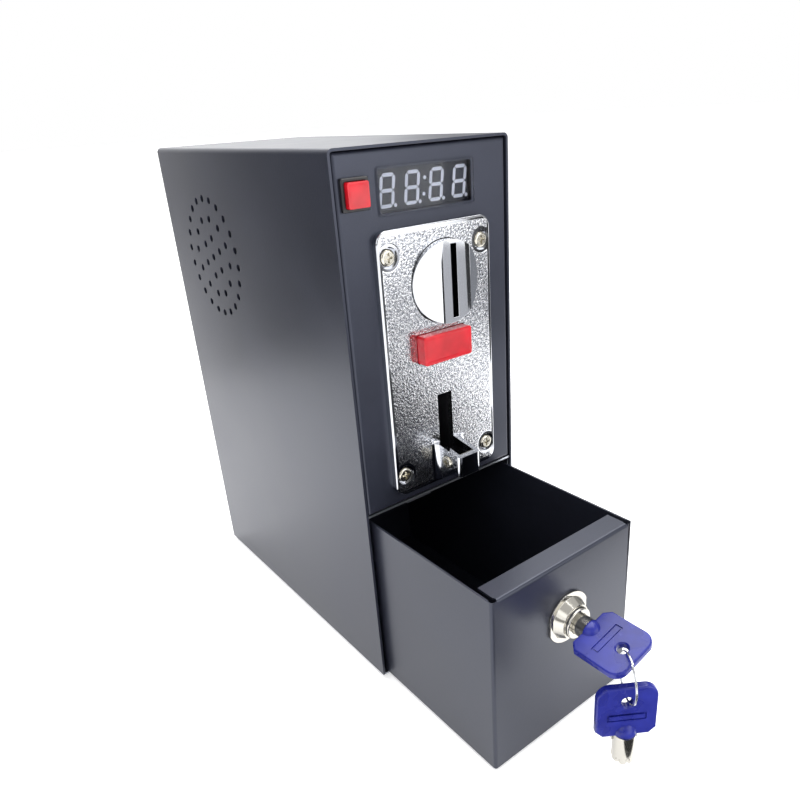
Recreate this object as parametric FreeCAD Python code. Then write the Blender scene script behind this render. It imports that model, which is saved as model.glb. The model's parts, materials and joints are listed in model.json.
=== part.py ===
import FreeCAD, Part
import math
import os

# Coin operated timer box: a black sheet steel cabinet with a coin acceptor, a start
# button and a digit display above a keyed cash drawer, which stands pulled out.
# X runs to the right as seen from the front, Y runs to the back, Z runs up.
# The origin is at the middle of the cabinet's footprint, on the floor. Millimetres.

Vector = FreeCAD.Vector

# --- driving dimensions -------------------------------------------------------
cabinet_width = 98.0
cabinet_depth = 192.0
cabinet_height = 268.0
floor_gap = 2.0  # the shell's lower edge stands this far above the floor

shell_wall = 1.2
shell_bend = 2.5
rear_lip = 8.4
chassis_wall = 0.8
base_thickness = 1.0
shelf_thickness = 1.0
shelf_height = 99.6  # underside of the shelf between the drawer bay and the works
shelf_flange = 10.0

sheet_fit = 0.2  # between sheets that lie side by side
panel_wall = 1.2
panel_inset = 0.3
panel_side_gap = 0.3
panel_bend = 2.2
panel_return = 12.0

drawer_width = 91.7
drawer_length = 186.0
drawer_height = 94.2
drawer_wall = 1.0
drawer_floor_gap = 0.3
drawer_shift = 0.7  # the drawer runs this far to the right of the middle
drawer_lip = 12.0
drawer_bend = 1.6
drawer_open = 84.0
drawer_rear_drop = 2.5
relief_radius = 1.7

lock_x = 1.2
lock_z = 64.5
lock_flange_radius = 13.0
lock_flange_flat = 12.0
lock_flange = 1.2
lock_cone = 4.3
lock_cone_base = 10.8
lock_cone_top = 8.6
lock_ring = 2.0
lock_ring_radius = 7.7
lock_barrel_radius = 9.4
lock_barrel = 20.0
key_radius = 5.1
key_bore = 3.3
key_depth = 9.0  # how far the key sits in the lock
key_reach = 14.0  # shank outside the bow
plug_radius = 6.1
shaft_fit = 0.08  # radial, for what turns or slides in a round hole
cam_length = 33.0
cam_width = 12.0
cam_thickness = 2.0

bow_width = 27.0
bow_length = 27.0
bow_thickness = 3.8
bow_corner = 6.0
bow_chamfer = 3.2
bow_hole_radius = 2.6
bow_hole_rim = 0.8
bow_hole_inset = 8.2
bow_collar = 0.55  # wall of the round collar that the tube stands in
bow_recess_gap = 8.0  # from the ring's hole to the middle of the long recess
tube_seat = 0.8  # how far the tube reaches into the bow
tang_length = 5.0
seat_fit = 0.05
bow_tilt = 14.0  # degrees the key is turned from level
ring_radius = 11.0
ring_wire = 0.6
ring_lean = 48.0  # degrees round the ring from its top to the key's hole
ring_yaw = 34.0  # degrees from straight ahead to the ring's own plane

plate_x = 0.8
plate_width = 65.0
plate_bottom = 106.2
plate_height = 127.8
plate_thickness = 3.5
plate_corner = 6.0
plate_edge = 1.0
plate_screw_x = 26.8
plate_screw_low = 117.2
plate_screw_high = 222.5
recess_radius = 4.8
recess_depth = 2.2
screw_radius = 2.0
screw_head_radius = 3.8
hole_fit = 0.2  # radial, round a screw

disc_x = 4.6
disc_z = 207.2
disc_radius = 19.25
disc_height = 4.2
ridge_left = 0.0
ridge_right = 16.5
slot_x = 7.0
slot_width = 3.5
slot_length = 34.0
slot_z = 207.3
way_depth = 28.0  # front to back, for coins up to about 27 across
way_wall = 4.0
drop_half_width = 3.5

reject_x = 0.5
reject_z = 178.0
reject_width = 28.6
reject_height = 13.8
reject_proud = 5.5
reject_travel = 3.5
button_fit = 0.3

return_x = 0.75
return_width = 8.8
return_top = 152.8
return_floor = 116.5
beak_reach = 17.5
beak_wall = 2.4
beak_root_top = 128.3
beak_nose_top = 125.0
beak_nose_bottom = 114.5
beak_root_bottom = 107.6
beak_blend = 4.5  # the walls sweep into the plate with this radius
beak_screw_z = 120.0
beak_screw_out = 8.2

window_x = -0.1
window_z = 249.3
window_width = 53.5
window_height = 20.2
window_corner = 1.5
window_proud = 1.0
window_rim = 1.5
digit_height = 14.2
digit_width = 8.0
digit_pitch = 13.4
digit_slant = 8.0
segment_width = 1.5
segment_gap = 0.22
segment_lift = 0.15
module_width = 50.3
module_height = 19.0
module_depth = 8.0
display_board_width = 60.0
display_board_height = 30.0
board_thickness = 1.6

start_x = -38.3
start_z = 249.8
start_size = 13.4
start_cap = 10.4
start_proud = 2.0
start_cap_proud = 4.2
start_travel = 1.5
start_depth = 16.0

acceptor_width = 42.0
acceptor_depth = 45.7
acceptor_margin = 6.1  # the body is this much shorter than the plate at each end

speaker_y = 38.4
speaker_z = 211.4
speaker_ring_pitch = 10.42
speaker_hole_radius = 1.9
speaker_radius = 36.8
speaker_lip = 5.0
speaker_depth = 16.0
magnet_radius = 18.0
magnet_depth = 10.0

inlet_x = -18.0
inlet_z = 150.0
inlet_width = 27.0
inlet_height = 47.0
inlet_depth = 25.0
inlet_flange = 3.0
inlet_rim = 3.0

gland_x = 30.0
gland_z = 128.0
gland_radius = 6.2
gland_bore = 3.2

supply_width = 40.0
supply_height = 70.0
supply_depth = 30.0
supply_x = 22.0
supply_z = 210.0

timer_board_width = 76.0
timer_board_length = 80.0
timer_board_y = 45.0
standoff_height = 6.0
standoff_radius = 2.5

# --- places worked out from the sizes -----------------------------------------
half_width = cabinet_width / 2
front_y = -cabinet_depth / 2
back_y = cabinet_depth / 2
inner_x = half_width - shell_wall
shelf_top = shelf_height + shelf_thickness
panel_y = front_y + panel_inset  # outer face of the front panel
panel_back = panel_y + panel_wall
panel_half = inner_x - panel_side_gap
panel_bottom = shelf_top + sheet_fit / 2
panel_top = cabinet_height - shell_wall - panel_side_gap
rear_y = back_y - shell_wall  # outer face of the rear panel
rear_inner = rear_y - panel_wall
plate_y = panel_y - plate_thickness  # outer face of the coin plate
tray_front = front_y - drawer_open
tray_bottom = base_thickness + drawer_floor_gap
tray_top = tray_bottom + drawer_height
tray_left = drawer_shift - drawer_width / 2
tray_right = drawer_shift + drawer_width / 2
lock_face = tray_front - lock_flange - lock_cone - lock_ring
bow_root = lock_face + key_depth - key_reach  # where the key's bow begins
acceptor_bottom = plate_bottom + acceptor_margin
acceptor_top = plate_bottom + plate_height - acceptor_margin
acceptor_left = plate_x - acceptor_width / 2
acceptor_right = plate_x + acceptor_width / 2
acceptor_back = panel_y + acceptor_depth


# --- helpers ------------------------------------------------------------------
def block(x0, x1, y0, y1, z0, z1):
    return Part.makeBox(x1 - x0, y1 - y0, z1 - z0, Vector(x0, y0, z0))


def block_at(x, y, z, width, depth, height):
    """A block centred on a point."""
    return block(x - width / 2, x + width / 2, y - depth / 2, y + depth / 2,
                 z - height / 2, z + height / 2)


def rod_x(y, z, radius, x0, x1):
    return Part.makeCylinder(radius, x1 - x0, Vector(x0, y, z), Vector(1, 0, 0))


def rod_y(x, z, radius, y0, y1):
    return Part.makeCylinder(radius, y1 - y0, Vector(x, y0, z), Vector(0, 1, 0))


def rod_z(x, y, radius, z0, z1):
    return Part.makeCylinder(radius, z1 - z0, Vector(x, y, z0), Vector(0, 0, 1))


def joined(shapes):
    return shapes[0].multiFuse(shapes[1:]).removeSplitter() if len(shapes) > 1 else shapes[0]


def group(shapes):
    return Part.makeCompound(shapes)


def parallel_edges(shape, axis, test=lambda middle: True):
    """Straight edges that run along an axis and whose middle passes the test."""
    found = []
    for edge in shape.Edges:
        if edge.Curve.TypeId != "Part::GeomLine":
            continue
        direction = edge.Vertexes[-1].Point.sub(edge.Vertexes[0].Point)
        if direction.Length > 0 and abs(abs(direction.dot(axis)) - direction.Length) < 1e-6:
            middle = edge.CenterOfMass
            if test(middle):
                found.append(edge)
    return found


def rounded(shape, radius, axis, test=lambda middle: True):
    return shape.makeFillet(radius, parallel_edges(shape, axis, test))


along_x = Vector(1, 0, 0)
along_y = Vector(0, 1, 0)
along_z = Vector(0, 0, 1)


def rounded_block_y(x, z, width, height, radius, y0, y1):
    """A block facing the front, with its four front-view corners rounded."""
    shape = block_at(x, (y0 + y1) / 2, z, width, y1 - y0, height)
    return rounded(shape, radius, along_y)


def prism_x(points, x0, x1):
    """A prism along X from a list of (y, z) points."""
    corners = [Vector(x0, y, z) for y, z in points]
    face = Part.Face(Part.makePolygon(corners + corners[:1]))
    return face.extrude(Vector(x1 - x0, 0, 0))


def prism_y(points, y0, y1):
    """A prism along Y from a list of (x, z) points."""
    corners = [Vector(x, y0, z) for x, z in points]
    face = Part.Face(Part.makePolygon(corners + corners[:1]))
    return face.extrude(Vector(0, y1 - y0, 0))


def prism_z(points, z0, z1):
    """A prism along Z from a list of (x, y) points."""
    corners = [Vector(x, y, z0) for x, y in points]
    face = Part.Face(Part.makePolygon(corners + corners[:1]))
    return face.extrude(Vector(0, 0, z1 - z0))


def polygon_points(count, radius, turn=0.0):
    steps = [math.radians(turn + 360.0 * k / count) for k in range(count)]
    return [(radius * math.cos(a), radius * math.sin(a)) for a in steps]


def hex_bar_y(x, z, across_flats, y0, y1):
    radius = across_flats / 2 / math.cos(math.radians(30))
    points = [(x + px, z + pz) for px, pz in polygon_points(6, radius)]
    return prism_y(points, y0, y1)


def revolved_x(points, y, z):
    """A solid turned about an X axis through (y, z), from (x, radius) points."""
    corners = [Vector(px, y, z + radius) for px, radius in points]
    face = Part.Face(Part.makePolygon(corners + corners[:1]))
    return face.revolve(Vector(0, y, z), along_x, 360)


def revolved_y(points, x, z):
    """A solid turned about a Y axis through (x, z), from (y, radius) points."""
    corners = [Vector(x, py, z + radius) for py, radius in points]
    face = Part.Face(Part.makePolygon(corners + corners[:1]))
    return face.revolve(Vector(x, 0, z), along_y, 360)


def pan_screw_y(x, z, radius, head_radius, head_height, head_y, length):
    """A cross-head screw whose head's seat is at head_y and whose shank runs to +Y."""
    head = rod_y(x, z, head_radius, head_y - head_height, head_y)
    rim = [edge for edge in head.Edges
           if edge.Curve.TypeId == "Part::GeomCircle" and edge.CenterOfMass.y < head_y - 1e-3]
    head = head.makeFillet(head_height * 0.55, rim)
    shank = rod_y(x, z, radius, head_y, head_y + length)
    screw = head.fuse(shank).removeSplitter()
    slot_depth = head_height * 0.55
    slot_wide = head_radius * 0.28
    for width, height in ((head_radius * 1.1, slot_wide), (slot_wide, head_radius * 1.1)):
        screw = screw.cut(block(x - width / 2, x + width / 2,
                                head_y - head_height - 1, head_y - head_height + slot_depth,
                                z - height / 2, z + height / 2))
    return screw


def coil_y(x, z, radius, wire, turns, y0, y1):
    """A compression spring along Y, its wire kept between y0 and y1."""
    height = y1 - y0 - 2 * wire
    helix = Part.makeHelix(height / turns, height, radius)
    section = Part.Wire(Part.makeCircle(wire, Vector(radius, 0, 0), Vector(0, 1, 0)))
    spring = Part.Wire(helix.Edges).makePipeShell([section], True, True)
    spring.rotate(Vector(0, 0, 0), along_x, -90)
    spring.translate(Vector(x, y0 + wire, z))
    return spring


def save(name, shape):
    shape.exportStep("parts/" + name + ".step")
    volume = shape.Volume
    print(name, len(shape.Solids), round(volume, 1), "ok" if shape.isValid() and volume > 0 else "BAD")


# --- cabinet ------------------------------------------------------------------
def speaker_grille_points():
    """Centre, a ring of 6, a ring of 12 and a ring of 22 holes, as (y, z)."""
    points = [(speaker_y, speaker_z)]
    for ring, count, turn in ((1, 6, 37.7), (2, 12, 7.0), (3, 22, 4.2)):
        points += [(speaker_y + py, speaker_z + pz)
                   for py, pz in polygon_points(count, ring * speaker_ring_pitch, turn)]
    return points


def shell_screw_points():
    """Places of the screws in the shell's rear lip, as (x, z)."""
    side = inner_x - rear_lip / 2
    top = cabinet_height - shell_wall - rear_lip / 2
    heights = [cabinet_height * share for share in (0.11, 0.5, 0.88)]
    points = [(sign * side, z) for sign in (-1, 1) for z in heights]
    return points + [(sign * side / 2, top) for sign in (-1, 1)]


shell_screw_radius = 1.5


def outer_shell():
    body = block(-half_width, half_width, front_y, back_y, floor_gap, cabinet_height)
    body = rounded(body, shell_bend, along_y, lambda m: m.z > cabinet_height - 1)
    hollow = block(-inner_x, inner_x, front_y - 1, rear_y, floor_gap - 1,
                   cabinet_height - shell_wall)
    hollow = rounded(hollow, shell_bend - shell_wall, along_y,
                     lambda m: m.z > cabinet_height - shell_wall - 1)
    window = block(-inner_x + rear_lip, inner_x - rear_lip, rear_y - 1, back_y + 1,
                   floor_gap - 1, cabinet_height - shell_wall - rear_lip)
    body = body.cut(hollow).cut(window)
    holes = [rod_x(y, z, speaker_hole_radius, -half_width - 1, -inner_x + 1)
             for y, z in speaker_grille_points()]
    holes += [rod_y(x, z, shell_screw_radius + hole_fit, rear_y - 1, back_y + 1)
              for x, z in shell_screw_points()]
    return body.cut(group(holes))


def base_chassis():
    front = front_y + shell_wall + panel_inset
    back = rear_inner - panel_inset
    outer = inner_x - sheet_fit / 2
    body = block(-outer, outer, front, back, 0, shelf_height)
    body = rounded(body, base_thickness + 0.4, along_y, lambda m: m.z < 1)
    inside = outer - chassis_wall
    hollow = block(-inside, inside, front - 1, back + 1, base_thickness, shelf_height + 1)
    hollow = rounded(hollow, 0.6, along_y, lambda m: m.z < base_thickness + 1)
    return body.cut(hollow)


def rear_openings():
    """Cut-outs through the rear panel."""
    cuts = [block_at(inlet_x, rear_y, inlet_z, inlet_width + 2 * hole_fit, 10,
                     inlet_height + 2 * hole_fit)]
    cuts.append(rod_y(gland_x, gland_z, gland_radius + hole_fit, rear_inner - 1, rear_y + 1))
    cuts += [rod_y(x, z, shell_screw_radius + sheet_fit / 4, rear_inner - 1, rear_y + 1)
             for x, z in shell_screw_points()]
    slot_count = 6
    slot_pitch = 5.0
    for k in range(slot_count):
        z = cabinet_height - 22.0 - k * slot_pitch
        vent = block_at(-20.0, (rear_inner + rear_y) / 2, z, 26.0, 2 * panel_wall, 2.2)
        cuts.append(rounded(vent, 1.05, along_y))
    return cuts


def rear_panel():
    body = block(-panel_half, panel_half, rear_inner, rear_y, base_thickness + sheet_fit,
                 panel_top)
    body = rounded(body, shell_bend - shell_wall, along_y, lambda m: m.z > panel_top - 0.1)
    return body.cut(group(rear_openings()))


def shell_screws():
    screws = []
    for x, z in shell_screw_points():
        screw = pan_screw_y(0, 0, shell_screw_radius, 2.8, 1.8, 0, 6.0)
        screw.rotate(Vector(0, 0, 0), along_z, 180)
        screw.translate(Vector(x, back_y, z))
        screws.append(screw)
    return group(screws)


def front_panel():
    back = panel_y + panel_return
    body = block(-panel_half, panel_half, panel_y, back, panel_bottom, panel_top)
    front = lambda m: m.y < panel_y + 1e-3
    body = body.makeFillet(panel_bend, parallel_edges(body, along_x, front)
                           + parallel_edges(body, along_z, front))
    body = rounded(body, shell_bend - shell_wall, along_y, lambda m: m.z > panel_top - 0.1)
    inner_bend = panel_bend - panel_wall
    hollow = block(-panel_half + panel_wall, panel_half - panel_wall, panel_back, back + 1,
                   panel_bottom + panel_wall, panel_top - panel_wall)
    inner_front = lambda m: m.y < panel_back + 1e-3
    hollow = hollow.makeFillet(inner_bend, parallel_edges(hollow, along_x, inner_front)
                               + parallel_edges(hollow, along_z, inner_front))
    body = body.cut(hollow)
    through = (panel_y - 1, panel_back + 1)
    cuts = [block(acceptor_left - button_fit, acceptor_right + button_fit, through[0], through[1],
                  acceptor_bottom - button_fit, acceptor_top + button_fit)]
    cuts.append(rounded_block_y(window_x, window_z, window_width - 2 * window_rim + 2 * hole_fit,
                                window_height - 2 * window_rim + 2 * hole_fit, 1.0,
                                through[0], through[1]))
    cuts.append(block_at(start_x, panel_y, start_z, start_neck() + 2 * hole_fit, 6,
                         start_neck() + 2 * hole_fit))
    cuts += [rod_y(x, z, screw_radius + hole_fit, through[0], through[1])
             for x, z in plate_screw_points()]
    return body.cut(group(cuts))


def divider_shelf():
    outer = inner_x - sheet_fit
    front = front_y + panel_inset * 2
    back = rear_inner - panel_inset
    floor = block(-outer, outer, front, back, shelf_height, shelf_top)
    flange_front = panel_y + panel_return + 1.0
    sides = [block(min(sign * outer, sign * (outer - shelf_thickness)),
                   max(sign * outer, sign * (outer - shelf_thickness)),
                   flange_front, back, shelf_height, shelf_top + shelf_flange)
             for sign in (-1, 1)]
    body = joined([floor] + sides)
    drop = coin_drop()
    return body.cut(block(drop[0], drop[1], drop[2], drop[3], shelf_height - 1, shelf_top + 1))


def coin_drop():
    """The hole that lets coins fall into the drawer: x0, x1, y0, y1."""
    return (slot_x - drop_half_width, slot_x + drop_half_width,
            acceptor_back - way_wall - way_depth, acceptor_back - way_wall + 1.0)


strike_wall = 1.2
strike_left = 15.0  # from the lock's axis, so that the bracket is clear of falling coins
strike_right = 1.0
strike_drop = 10.0
strike_gap = 3.5


def strike_bracket():
    """Two legs under the shelf: the cam hooks behind the front one, and the drawer's
    back meets the rear one when it is pulled right out."""
    top = shelf_height
    low = top - strike_wall - strike_drop
    front = front_y + drawer_lip + strike_gap
    back = front_y + lock_barrel + cam_thickness + 8.0
    body = block(lock_x - strike_left, lock_x + strike_right, front, back + strike_wall, low, top)
    gap = block(lock_x - strike_left - 1, lock_x + strike_right + 1, front + strike_wall, back,
                low - 1, top - strike_wall)
    return body.cut(gap)


# --- drawer and lock ----------------------------------------------------------
def drawer_tray():
    back = tray_front + drawer_length
    body = block(tray_left, tray_right, tray_front, back, tray_bottom, tray_top)
    body = rounded(body, drawer_bend, along_z)
    body = body.makeFillet(0.8, parallel_edges(body, along_y, lambda m: m.z < tray_bottom + 0.1))
    hollow = block(tray_left + drawer_wall, tray_right - drawer_wall, tray_front + drawer_wall,
                   back - drawer_wall, tray_bottom + drawer_wall, tray_top + 1)
    hollow = rounded(hollow, drawer_bend - drawer_wall, along_z)
    body = body.cut(hollow)
    body = body.cut(block(tray_left - 1, tray_right + 1, back - drawer_bend - 0.1, back + 1,
                          tray_top - drawer_rear_drop, tray_top + 1))
    lip_left = tray_left + 2 * relief_radius
    lip_right = tray_right - 2 * relief_radius
    lip_drop = 6.0
    body = body.cut(block(lip_left, lip_right, tray_front - 1, tray_front + drawer_bend,
                          tray_top - lip_drop, tray_top + 1))
    lip = block(lip_left, lip_right, tray_front, tray_front + drawer_lip, tray_top - lip_drop,
                tray_top)
    lip = rounded(lip, drawer_bend, along_x,
                  lambda m: m.y < tray_front + 0.01 and m.z > tray_top - 0.01)
    under = block(lip_left - 1, lip_right + 1, tray_front + drawer_wall,
                  tray_front + drawer_lip + 1, tray_top - lip_drop - 1, tray_top - drawer_wall)
    under = rounded(under, drawer_bend - drawer_wall, along_x,
                    lambda m: m.y < tray_front + drawer_wall + 0.01 and m.z > tray_top - 2)
    body = body.fuse(lip.cut(under)).removeSplitter()
    reliefs = [rod_z(x, tray_front + relief_radius, relief_radius, tray_top - 2.5, tray_top + 1)
               for x in (tray_left + relief_radius + 0.5, tray_right - relief_radius - 0.5)]
    hole = rod_y(lock_x, lock_z, lock_barrel_radius + hole_fit / 2, tray_front - 1,
                 tray_front + drawer_wall + 1)
    return body.cut(group(reliefs + [hole]))


def lock_body():
    """Flange, faceted head and threaded barrel, with the keyway bored through."""
    flange = rod_y(lock_x, lock_z, lock_flange_radius, tray_front - lock_flange, tray_front)
    flange = flange.common(block_at(lock_x, tray_front, lock_z, 2 * lock_flange_flat, 10,
                                    2 * lock_flange_radius + 2))
    cone_y = tray_front - lock_flange
    facets = 12
    wires = []
    for radius, y in ((lock_cone_base, cone_y), (lock_cone_top, cone_y - lock_cone)):
        corners = [Vector(lock_x + px, y, lock_z + pz)
                   for px, pz in polygon_points(facets, radius, 180.0 / facets)]
        wires.append(Part.makePolygon(corners + corners[:1]))
    cone = Part.makeLoft(wires, True, True)
    ring = rod_y(lock_x, lock_z, lock_ring_radius, lock_face, cone_y - lock_cone)
    rim = [edge for edge in ring.Edges if edge.Curve.TypeId == "Part::GeomCircle"
           and edge.CenterOfMass.y < lock_face + 1e-3]
    ring = ring.makeFillet(0.7, rim)
    barrel = rod_y(lock_x, lock_z, lock_barrel_radius, tray_front, tray_front + lock_barrel)
    body = joined([flange, cone, ring, barrel])
    body = body.cut(rod_y(lock_x, lock_z, key_radius + shaft_fit, lock_face - 1, plug_front()))
    return body.cut(rod_y(lock_x, lock_z, plug_radius + shaft_fit, plug_front(),
                          tray_front + lock_barrel + 1))


def plug_front():
    """Where the wide part of the turning plug begins, just past the key's tip."""
    return lock_face + key_depth + 1.0


cam_spigot_radius = 3.6
cam_screw_radius = 1.9
cam_y = tray_front + lock_barrel + sheet_fit  # front face of the cam


def lock_plug():
    """The part that the key turns: a centre post, a wide plug and a rear spigot."""
    post = rod_y(lock_x, lock_z, key_bore - shaft_fit, lock_face + 1.0, plug_front() + 1)
    plug = rod_y(lock_x, lock_z, plug_radius, plug_front() + 0.2, cam_y)
    spigot = rod_y(lock_x, lock_z, cam_spigot_radius, cam_y, cam_y + cam_thickness - 0.1)
    body = joined([post, plug, spigot])
    return body.cut(rod_y(lock_x, lock_z, cam_screw_radius + shaft_fit, cam_y - 9,
                          cam_y + cam_thickness + 1))


def lock_nut():
    seat = tray_front + drawer_wall
    nut = hex_bar_y(lock_x, lock_z, 24.0, seat, seat + 3.0)
    return nut.cut(rod_y(lock_x, lock_z, lock_barrel_radius + shaft_fit, seat - 1, seat + 4))


def lock_cam():
    end = cam_length - cam_width / 2
    bar = block(lock_x, lock_x + end, cam_y, cam_y + cam_thickness, lock_z - cam_width / 2,
                lock_z + cam_width / 2)
    hub = rod_y(lock_x, lock_z, cam_width / 2 + 1.5, cam_y, cam_y + cam_thickness)
    tip = rod_y(lock_x + end, lock_z, cam_width / 2, cam_y, cam_y + cam_thickness)
    cam = joined([bar, hub, tip])
    cam = cam.cut(rod_y(lock_x, lock_z, cam_spigot_radius + shaft_fit, cam_y - 1,
                        cam_y + cam_thickness + 1))
    return turned_with_key(cam)


def cam_screw():
    """Shank into the plug, with its head and washer holding the cam."""
    screw = pan_screw_y(0, 0, cam_screw_radius, 3.4, 2.2, 0, 8.0)
    screw.rotate(Vector(0, 0, 0), along_z, 180)
    screw.translate(Vector(lock_x, cam_y + cam_thickness + 0.8, lock_z))
    washer = rod_y(lock_x, lock_z, 4.6, cam_y + cam_thickness, cam_y + cam_thickness + 0.8)
    return screw.fuse(washer).removeSplitter()


def turned_with_key(shape):
    """Turns a piece about the lock's axis to where the key stands at rest."""
    turned = shape.copy()
    turned.rotate(Vector(lock_x, 0, lock_z), along_y, -bow_tilt)
    return turned


def key_bow_blank():
    """The plastic grip of a key: it starts at y = 0 and reaches to -bow_length, lying flat."""
    half = bow_width / 2
    outline = [(-half + bow_chamfer, 0), (half - bow_chamfer, 0), (half, -bow_chamfer),
               (half, -bow_length), (-half, -bow_length), (-half, -bow_chamfer)]
    bow = prism_z(outline, -bow_thickness / 2, bow_thickness / 2)
    bow = rounded(bow, bow_corner, along_z, lambda m: m.y < -bow_length + 0.1)
    faces = [edge for edge in bow.Edges
             if abs(abs(edge.CenterOfMass.z) - bow_thickness / 2) < 1e-4]
    bow = bow.makeFillet(0.9, faces)
    collar_radius = key_radius + bow_collar
    collar = rod_y(0, 0, collar_radius, -tube_seat, 0.8)
    dome = Part.makeSphere(collar_radius, Vector(0, -tube_seat, 0))
    dome = dome.common(block(-half, half, -bow_length, 0, -half, half))
    bow = joined([bow, collar, dome])
    hole_y = -bow_length + bow_hole_inset
    half_thick = bow_thickness / 2
    hole = rod_z(0, hole_y, bow_hole_radius, -bow_thickness, bow_thickness)
    for sign in (-1, 1):
        rim = Part.makeCone(bow_hole_radius, bow_hole_radius + bow_hole_rim, bow_hole_rim,
                            Vector(0, hole_y, sign * (half_thick - bow_hole_rim)),
                            Vector(0, 0, sign))
        hole = hole.fuse(rim)
    recess_y = hole_y + bow_recess_gap
    recess = [block_at(0, recess_y, sign * bow_thickness / 2, 17.4, 4.0, 1.0) for sign in (-1, 1)]
    socket = rod_y(0, 0, key_radius + seat_fit, -tube_seat - seat_fit, 2.0)
    pocket = key_tang(seat_fit)
    return bow.cut(group([hole] + recess)).cut(socket).cut(pocket)


def key_tang(grown=0.0):
    """Flat tongue of the tube that the grip is moulded round."""
    half_wide = key_radius - 1.2 + grown
    half_thick = 0.8 + grown
    return block(-half_wide, half_wide, -tube_seat - tang_length - grown, -tube_seat + 0.5,
                 -half_thick, half_thick)


def key_shank_blank():
    """The steel tube of a key: it starts inside the bow and reaches to +key_reach."""
    tube = rod_y(0, 0, key_radius, -tube_seat, key_reach)
    tube = tube.cut(rod_y(0, 0, key_bore, 1.0, key_reach + 1))
    tube = tube.fuse(key_tang()).removeSplitter()
    cut_depth = 1.0
    for px, pz in polygon_points(7, key_radius, 20.0):
        tube = tube.cut(rod_y(px * 1.08, pz * 1.08, 0.8, key_reach - 2.5 - cut_depth, key_reach + 1))
    return tube


def placed_key(blank):
    """Puts a key blank into the lock, turned to where it stands at rest."""
    key = blank.copy()
    key.translate(Vector(lock_x, bow_root, lock_z))
    return turned_with_key(key)


def ring_frame():
    """Hole point, outward direction of the ring's plane and the ring's centre."""
    yaw = math.radians(ring_yaw)
    outward = Vector(-math.sin(yaw), -math.cos(yaw), 0)
    hole = Vector(lock_x, bow_root - bow_length + bow_hole_inset, lock_z)
    lean = math.radians(ring_lean)
    centre = hole + outward * (ring_radius * math.sin(lean))
    centre = centre - Vector(0, 0, ring_radius * math.cos(lean))
    return hole, outward, centre


def key_ring():
    outward = ring_frame()[1]
    centre = ring_frame()[2]
    across = outward.cross(Vector(0, 0, 1))
    return Part.makeTorus(ring_radius, ring_wire, centre, across)


spare_drop = 1.2  # the spare key's hole hangs this far below the ring's wire


def placed_spare(blank):
    """Hangs a key blank from the bottom of the ring, facing along the ring's plane."""
    centre = ring_frame()[2]
    key = blank.copy()
    key.rotate(Vector(0, 0, 0), along_x, -90)
    key.rotate(Vector(0, 0, 0), along_z, -ring_yaw)
    hole_up = bow_length - bow_hole_inset
    bottom = centre - Vector(0, 0, ring_radius)
    key.translate(bottom - Vector(0, 0, spare_drop + hole_up))
    return key


# --- coin plate and acceptor --------------------------------------------------
def plate_screw_points():
    return [(plate_x + sign * plate_screw_x, z) for sign in (-1, 1)
            for z in (plate_screw_low, plate_screw_high)]


def beak_outline(inset=0.0):
    """Side view of the coin return's walls, as (y, z)."""
    nose = plate_y - beak_reach
    root = plate_y + 1.0
    return [(root, beak_root_top - inset), (nose + inset, beak_nose_top),
            (nose + inset, beak_nose_bottom + inset), (nose + 5.0, beak_nose_bottom + inset),
            (plate_y - 5.0, beak_root_bottom + 2.6 + inset), (root, beak_root_bottom + inset)]


def coin_faceplate():
    """Cast plate with a beak at the coin return."""
    middle_z = plate_bottom + plate_height / 2
    plate = rounded_block_y(plate_x, middle_z, plate_width, plate_height, plate_corner, plate_y,
                            panel_y)
    rim = [edge for edge in plate.Edges if abs(edge.CenterOfMass.y - plate_y) < 1e-3]
    plate = plate.makeFillet(plate_edge, rim)
    half = return_width / 2 + beak_wall
    beak = prism_x(beak_outline(), return_x - half, return_x + half)
    nose = plate_y - beak_reach
    beak = rounded(beak, 2.0, along_z, lambda m: m.y < nose + 0.1)
    body = plate.fuse(beak).removeSplitter()
    channel_left = return_x - return_width / 2
    channel_right = return_x + return_width / 2
    cuts = [block(channel_left, channel_right, plate_y - 0.5, panel_y + 1, return_floor, return_top)]
    floor_rise = 1.5
    trough = [(plate_y + 1.0, return_floor), (nose + beak_wall, return_floor + floor_rise),
              (nose + beak_wall, beak_root_top + 5), (plate_y + 1.0, beak_root_top + 5)]
    cuts.append(prism_x(trough, channel_left, channel_right))
    cuts.append(rod_y(disc_x, disc_z, disc_radius + button_fit, plate_y - 1, panel_y + 1))
    cuts.append(rounded_block_y(reject_x, reject_z, reject_width + 2 * button_fit,
                                reject_height + 2 * button_fit, 1.2, plate_y - 1, panel_y + 1))
    for x, z in plate_screw_points():
        cuts.append(rod_y(x, z, recess_radius, plate_y - 1, plate_y + recess_depth))
        cuts.append(rod_y(x, z, screw_radius + hole_fit, plate_y, panel_y + 1))
    cuts.append(rod_x(plate_y - beak_screw_out, beak_screw_z, 1.6, return_x - half - 1,
                      return_x + half - 1))
    cuts.append(rod_x(plate_y - beak_screw_out, beak_screw_z, 3.7, return_x - half - 1,
                      return_x - half + 0.8))
    body = body.cut(group(cuts))
    on_root = lambda m: (abs(m.y - plate_y) < 0.02
                         and abs(abs(m.x - return_x) - half) < 0.02)
    return body.makeFillet(beak_blend, parallel_edges(body, along_z, on_root))


def return_stop_screw():
    """Cross screw that keeps a returned coin from rolling out of the beak."""
    half = return_width / 2 + beak_wall
    screw = pan_screw_y(0, 0, 1.5, 3.4, 1.8, 0, 2 * half - 2.0)
    screw.rotate(Vector(0, 0, 0), along_z, -90)
    screw.translate(Vector(return_x - half + 0.8, plate_y - beak_screw_out, beak_screw_z))
    return screw


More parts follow.
